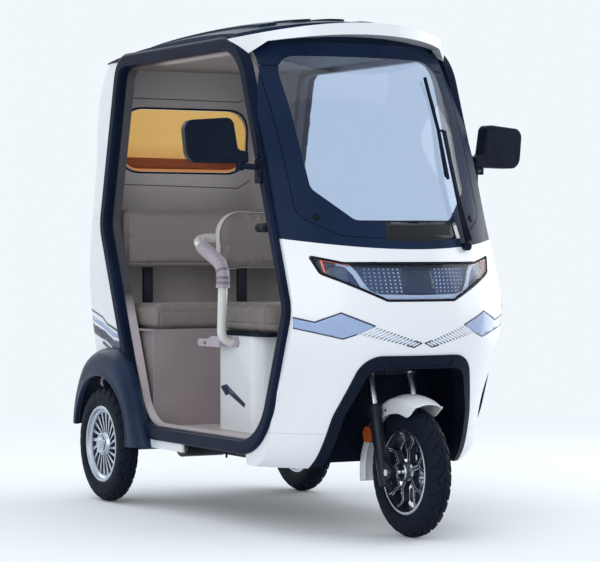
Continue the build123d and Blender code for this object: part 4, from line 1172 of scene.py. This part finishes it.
class MOPED_OT_fenders(bpy.types.Operator):
    """Shapes the two bulging rear fenders with their turned-in lip"""

    bl_idname = "moped.fenders"
    bl_label = "Rear fenders"

    def execute(self, context):
        for side, word in SIDES:
            centre = middle_of(f"rear_tyre_{word}")
            fine = smooth_path([Vector(r) for r in FENDER_ROWS], 6)
            self.bulge(side, word, centre, fine)
            self.liner(side, word, centre, fine)
        return {"FINISHED"}

    def bulge(self, side, word, centre, fine):
        """The fender itself, with one section per row."""
        points = []
        for angle, outer, arch, inner in fine:
            swell = min(1.0, (outer - arch) / 90.0)
            reach = FENDER_OUTER - 6.0 * (1.0 - swell)
            section = [(inner, outer - 1.0)]
            shoulder = max(inner + 1.0, reach - 55.0)
            for k in range(17):
                a = math.radians(90 * k / 16)
                y = shoulder + (reach - shoulder) * math.sin(a) ** 0.72
                r = arch + 5.0 + (outer - arch - 5.0) * math.cos(a) ** 0.62
                section.append((y, r))
            section += [(reach + 1.2, arch + 3.0), (reach + 0.8, arch + 0.6)]
            section += [(reach - 2.5, arch - 0.4), (reach - 14.0, arch)]
            points += [round_axle(centre, math.radians(angle), r, side * y / 1000) for y, r in section]
        faces = grid_faces(len(fine), len(section))
        if side > 0:
            faces = [tuple(reversed(face)) for face in faces]
        piece = link_mesh(f"fender_{word}_bulge", (points, faces), "fender_satin")
        thicken(piece, 0.003, -1.0)
        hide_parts(f"fender_{word}")

    def liner(self, side, word, centre, fine):
        """The dark inner skin between the fender and the wheel housing."""
        rows = [row for row in fine if row[0] > LINER_FROM]
        points = []
        for angle, _, arch, _ in rows:
            points += [round_axle(centre, math.radians(angle), arch + 3.0, side * y / 1000) for y in LINER_ACROSS]
        faces = grid_faces(len(rows), len(LINER_ACROSS))
        thicken(link_mesh(f"fender_liner_{word}", (points, faces), "trim_black"), 0.002)


# Linings and window

COARSE = (24.0, 24.0)

class MOPED_OT_linings(bpy.types.Operator):
    """Adds the window's rubber, its lower strip and dark strips of painted shade along the grooves of the rear lining
    """

    bl_idname = "moped.linings"
    bl_label = "Linings"

    def execute(self, context):
        back = cast_along(surface_of("rear_lining"), (-1, 0, 0), -0.5)
        edge = rounded([(-274, 1242, 92), (274, 1242, 92), (274, 1490, 92), (-274, 1490, 92)], 8)
        pane = cast_along(surface_of("rear_window"), (-1, 0, 0), -0.5)
        wrap("rear_window_rubber", ribbon(edge, 6.5, closed=True), back, 0.001, COARSE, "rubber_black", thick=0.002,
             longest=0.05)
        inside = rounded([(-259, 1257, 77), (259, 1257, 77), (259, 1475, 77), (-259, 1475, 77)], 10)
        foot = sorted((p for p in inside if p[1] < 1296), key=lambda p: p[0])
        wrap("rear_window_strip", [[(-256, 1300)] + foot + [(256, 1292)]], pane, 0.0012, COARSE, "window_strip")
        grooves = (
            ((-297, 1218), (-263, 1195), (245, 1186), (294, 1218)),
            ((-292, 1545), (-276, 1527), (227, 1523), (262, 1548)),
        )
        # the grooves are dark strips of painted shade, not cut into the lining
        for i, line in enumerate(grooves):
            wrap(f"lining_groove_shade_{i}", ribbon(line, 3.2), back, 0.0005, COARSE, "seam_dark")
        return {"FINISHED"}


# Small fittings on the cabin

MIRROR_LINE = ((488, 1242, 12), (504, 1366, 20), (648, 1354, 26), (634, 1241, 30))
KNOB = ((0, 14), (10, 14), (14, 15.5), (30, 15.5), (34, 13), (52, 13.5), (60, 15), (72, 14), (78, 9), (80, 1))
MIRROR_SCREW = ((-1, 9), (2.5, 9), (3.5, 7.5), (3.5, 5), (1.2, 4.4), (1.2, 0.5))
CHASSIS_BOLT = ((-1, 8), (6, 8), (6, 4.2), (24, 4.2), (27, 3), (27, 0.5))
SCREEN_PLUG = ((-2, 12), (2.0, 12), (3.0, 10), (3.2, 0.5))
WIPER_BLADE = ((230, 1500), (227, 1420), (222, 1345), (217, 1260), (212, 1185))
WIPER_ARM = ((217, 962), (221, 1040), (226, 1130), (231, 1240), (235, 1335))


class MOPED_OT_fittings(bpy.types.Operator):
    """Adds the door ring's joint and knob, the screws and bolts, the mirrors' glass, the wiper and the arch's rib"""

    bl_idname = "moped.fittings"
    bl_label = "Fittings"

    def execute(self, context):
        ahead = cast_along(surface_of("windscreen_frame"), (-1, 0, 0), 2.0)
        under = cast_along(surface_of("chassis"), (0, 0, 1), 0.0)
        for side, word in SIDES:
            flank = cast_along(surface_of(f"door_frame_{word}", f"mirror_{word}"), (0, -side, 0), side * 1.0)
            joint = ribbon(((538, 1061), (634, 1068)), 3.0)
            wrap(f"door_ring_joint_{word}", joint, flank, 0.0004, (10.0, 10.0), "rubber_black")
            turned(f"door_ring_knob_{word}", KNOB, (0.556, side * 0.398, 1.014), (-1, 0, 0), "rubber_black", sides=28)
            self.screws(f"mirror_screw_{{}}_{word}", MIRROR_SCREW, flank, ((507, 1240), (523, 1189)), (0, side, 0), 28)
            bolts = [(x, side * 246) for x in (-470, -425, -60)]
            self.screws(f"chassis_bolt_{{}}_{word}", CHASSIS_BOLT, under, bolts, (0, 0, -1), 12)
            point, normal = ahead(side * 296, 1047)
            turned(f"screen_plug_{word}", SCREEN_PLUG, point, normal, "rubber_black", sides=28)
            self.mirror_face(side, word)
        dark = [(-84, 1032), (60, 1032), (204, 1032), (206, 980), (33, 968), (-96, 971)]
        wrap("screen_foot_panel", [dark], ahead, 0.0005, (30.0, 30.0), "gloss_black", longest=0.06)
        self.arch_rib()
        self.wiper()
        return {"FINISHED"}

    def screws(self, name, rows, find, places, way, sides):
        """Screws on a surface, at the places where it is found."""
        for i, place in enumerate(places):
            found = find(*place)
            if found:
                turned(name.format(i), rows, found[0], way, "frame_metal", sides=sides)

    def wiper(self):
        """The rubber blade and the thicker arm of the wiper."""
        ahead = cast_along(surface_of("windscreen_glass", "windscreen_frame"), (-1, 0, 0), 2.0)
        blade, arm = ([ahead(*p) for p in row] for row in (WIPER_BLADE, WIPER_ARM))
        tube("wiper_rubber", [p + n * 0.006 for p, n in blade], "rubber_black", 0.0045, sides=8)
        radii = (0.0125, 0.0095, 0.0075, 0.006, 0.0045)
        tube("wiper_arm_cover", [p + n * 0.024 for p, n in arm], "rubber_black", radii=radii)

    def mirror_face(self, side, word):
        """The silvered glass behind, and the line pressed into the shell in front."""
        tree = surface_of(f"mirror_{word}")
        low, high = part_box(f"mirror_{word}")
        ahead = cast_along(tree, (-1, 0, 0), 1.0)
        out = [(side * u, z, r) for u, z, r in MIRROR_LINE]
        wrap(f"mirror_line_{word}", ribbon(rounded(out), 2.4, closed=True), ahead, 0.0004, (12.0, 12.0), "rubber_black")
        behind = cast_along(tree, (1, 0, 0), low[0] - 0.1)
        wrap(f"mirror_glass_{word}", [rounded(out)], behind, 0.0012, (14.0, 14.0), "mirror", thick=0.001)

    def arch_rib(self):
        ahead = cast_along(surface_of("arch_trim"), (-1, 0, 0), 2.0)
        rows = (
            ((-126, 590), (-103, 556), (107, 551), (132, 585)),
            ((-115, 581), (-95, 566), (98, 562), (120, 577)),
        )
        for i, row in enumerate(rows):
            wrap(f"arch_rib_{i}", ribbon(row, 3.4), ahead, 0.0012, (10.0, 10.0), "frame_black", thick=0.0024)


# Stage

LENS_MM = 144.55
CAMERA_AT = (7.585, -4.0515, 0.9374)
CAMERA_YAW = 28.2126
CAMERA_DOWN = 0.7123
FLOOR_SIZE = 40.0
FLOOR_NEAR = 1.9
FLOOR_FAR = 5.5
FLOOR_COLOUR = (0.80, 0.84, 0.87)
SKY_COLOUR = (0.92, 0.95, 1.0)
SKY_STRENGTH = 0.85
LAMPS = (
    ("key", (5.0, -4.6, 3.0), 5.0, 140.0),
    ("fill", (2.0, 6.0, 2.6), 4.0, 80.0),
    ("back", (-6.0, -2.0, 4.5), 4.0, 85.0),
    ("top", (0.0, 0.0, 6.0), 7.0, 85.0),
    ("left_low", (-0.4, 4.6, 1.2), 2.6, 55.0),
)


def floor_finish():
    """A pale matt floor that fades into the backdrop away from the object, so no horizon shows."""
    s = Shader("floor_stage", FLOOR_COLOUR, 0.75, Specular_IOR_Level=0.1)
    far = s.nodes.new("ShaderNodeVectorMath")
    far.operation = "LENGTH"
    s.links.new(s.where, far.inputs[0])
    fade = s.ramp(far.outputs["Value"], FLOOR_NEAR, FLOOR_FAR)
    fade.node.interpolation_type = "SMOOTHSTEP"
    clear = s.nodes.new("ShaderNodeBsdfTransparent")
    blended(s.material.node_tree, fade, s.bsdf, clear, "Material Output")
    return s.material


def blended(tree, factor, one, other, output):
    """Mixes two shaders by a factor into an output node."""
    blend = tree.nodes.new("ShaderNodeMixShader")
    tree.links.new(factor, blend.inputs["Fac"])
    tree.links.new(one.outputs[0], blend.inputs[1])
    tree.links.new(other.outputs[0], blend.inputs[2])
    tree.links.new(blend.outputs[0], tree.nodes[output].inputs["Surface"])


def background(tree, colour, strength):
    """A background of one colour and strength."""
    node = tree.nodes.new("ShaderNodeBackground")
    node.inputs["Color"].default_value = (*colour, 1.0)
    node.inputs["Strength"].default_value = strength
    return node


def placed(name, data, place, way):
    """A lamp or camera that looks a way."""
    thing = bpy.data.objects.new(name, data)
    thing.location = place
    thing.rotation_euler = way.to_track_quat("-Z", "Y").to_euler()
    bpy.context.scene.collection.objects.link(thing)
    return thing


class MOPED_OT_stage(bpy.types.Operator):
    """Adds the pale floor, the soft lights and the camera of the photograph"""

    bl_idname = "moped.stage"
    bl_label = "Stage"

    def execute(self, context):
        scene = context.scene
        scene.view_settings.view_transform = "Standard"
        mesh = bpy.data.meshes.new("floor_stage")
        size = FLOOR_SIZE
        mesh.from_pydata([(-size, -size, 0), (size, -size, 0), (size, size, 0), (-size, size, 0)], [], [(0, 1, 2, 3)])
        ground = bpy.data.objects.new("floor_stage", mesh)
        scene.collection.objects.link(ground)
        ground.data.materials.append(floor_finish())
        scene.world = self.room(scene.moped_stage.backdrop)
        for name, place, size, power in LAMPS:
            data = bpy.data.lights.new(name, "AREA")
            data.size = size
            data.energy = power
            placed(name, data, place, Vector((0, 0, 0.8)) - Vector(place))
        data = bpy.data.cameras.new("camera")
        data.lens = LENS_MM
        data.clip_end = 200.0
        yaw, down = math.radians(CAMERA_YAW), math.radians(CAMERA_DOWN)
        aim = Vector((-math.cos(yaw) * math.cos(down), math.sin(yaw) * math.cos(down), -math.sin(down)))
        scene.camera = placed("camera", data, CAMERA_AT, aim)
        return {"FINISHED"}

    def room(self, backdrop):
        """Soft light from all round, with the plain backdrop for what the camera sees, also by glass and gloss."""
        world = bpy.data.worlds.new("soft_room")
        world.use_nodes = True
        tree = world.node_tree
        tree.nodes.remove(tree.nodes["Background"])
        lit = background(tree, SKY_COLOUR, SKY_STRENGTH)
        seen = background(tree, backdrop, 1.0)
        path = tree.nodes.new("ShaderNodeLightPath")
        shown = path.outputs["Is Camera Ray"]
        for ray in ("Is Transmission Ray", "Is Glossy Ray"):
            either = tree.nodes.new("ShaderNodeMath")
            either.operation = "MAXIMUM"
            tree.links.new(shown, either.inputs[0])
            tree.links.new(path.outputs[ray], either.inputs[1])
            shown = either.outputs[0]
        blended(tree, shown, lit, seen, "World Output")
        return world


class MOPED_PT_panel(bpy.types.Panel):
    """Lists the moped's settings and the operators that dress it"""

    bl_idname = "MOPED_PT_panel"
    bl_label = "Cabin moped"
    bl_space_type = "VIEW_3D"
    bl_region_type = "UI"
    bl_category = "Cabin moped"

    def draw(self, context):
        for name, group in SETTINGS.items():
            for prop in group.__annotations__:
                self.layout.prop(getattr(context.scene, name), prop)
        for operator in OPERATORS:
            self.layout.operator(operator.bl_idname)


OPERATORS = (
    MOPED_OT_finishes, MOPED_OT_graphics, MOPED_OT_headlamp, MOPED_OT_tyres, MOPED_OT_wheels, MOPED_OT_mudguard,
    MOPED_OT_fenders, MOPED_OT_cushions, MOPED_OT_handrail, MOPED_OT_linings, MOPED_OT_fittings, MOPED_OT_stage,
)
SETTINGS = {"moped_finish": FinishSettings, "moped_rail": RailSettings, "moped_stage": StageSettings}


def register():
    for item in (*SETTINGS.values(), *OPERATORS, MOPED_PT_panel):
        bpy.utils.register_class(item)
    for name, group in SETTINGS.items():
        setattr(bpy.types.Scene, name, bpy.props.PointerProperty(type=group))


def unregister():
    for name in SETTINGS:
        delattr(bpy.types.Scene, name)
    for item in (MOPED_PT_panel, *reversed(OPERATORS), *SETTINGS.values()):
        bpy.utils.unregister_class(item)


def main():
    register()
    for operator in OPERATORS:
        family, name = operator.bl_idname.split(".")
        getattr(getattr(bpy.ops, family), name)()


if __name__ == "__main__":
    main()
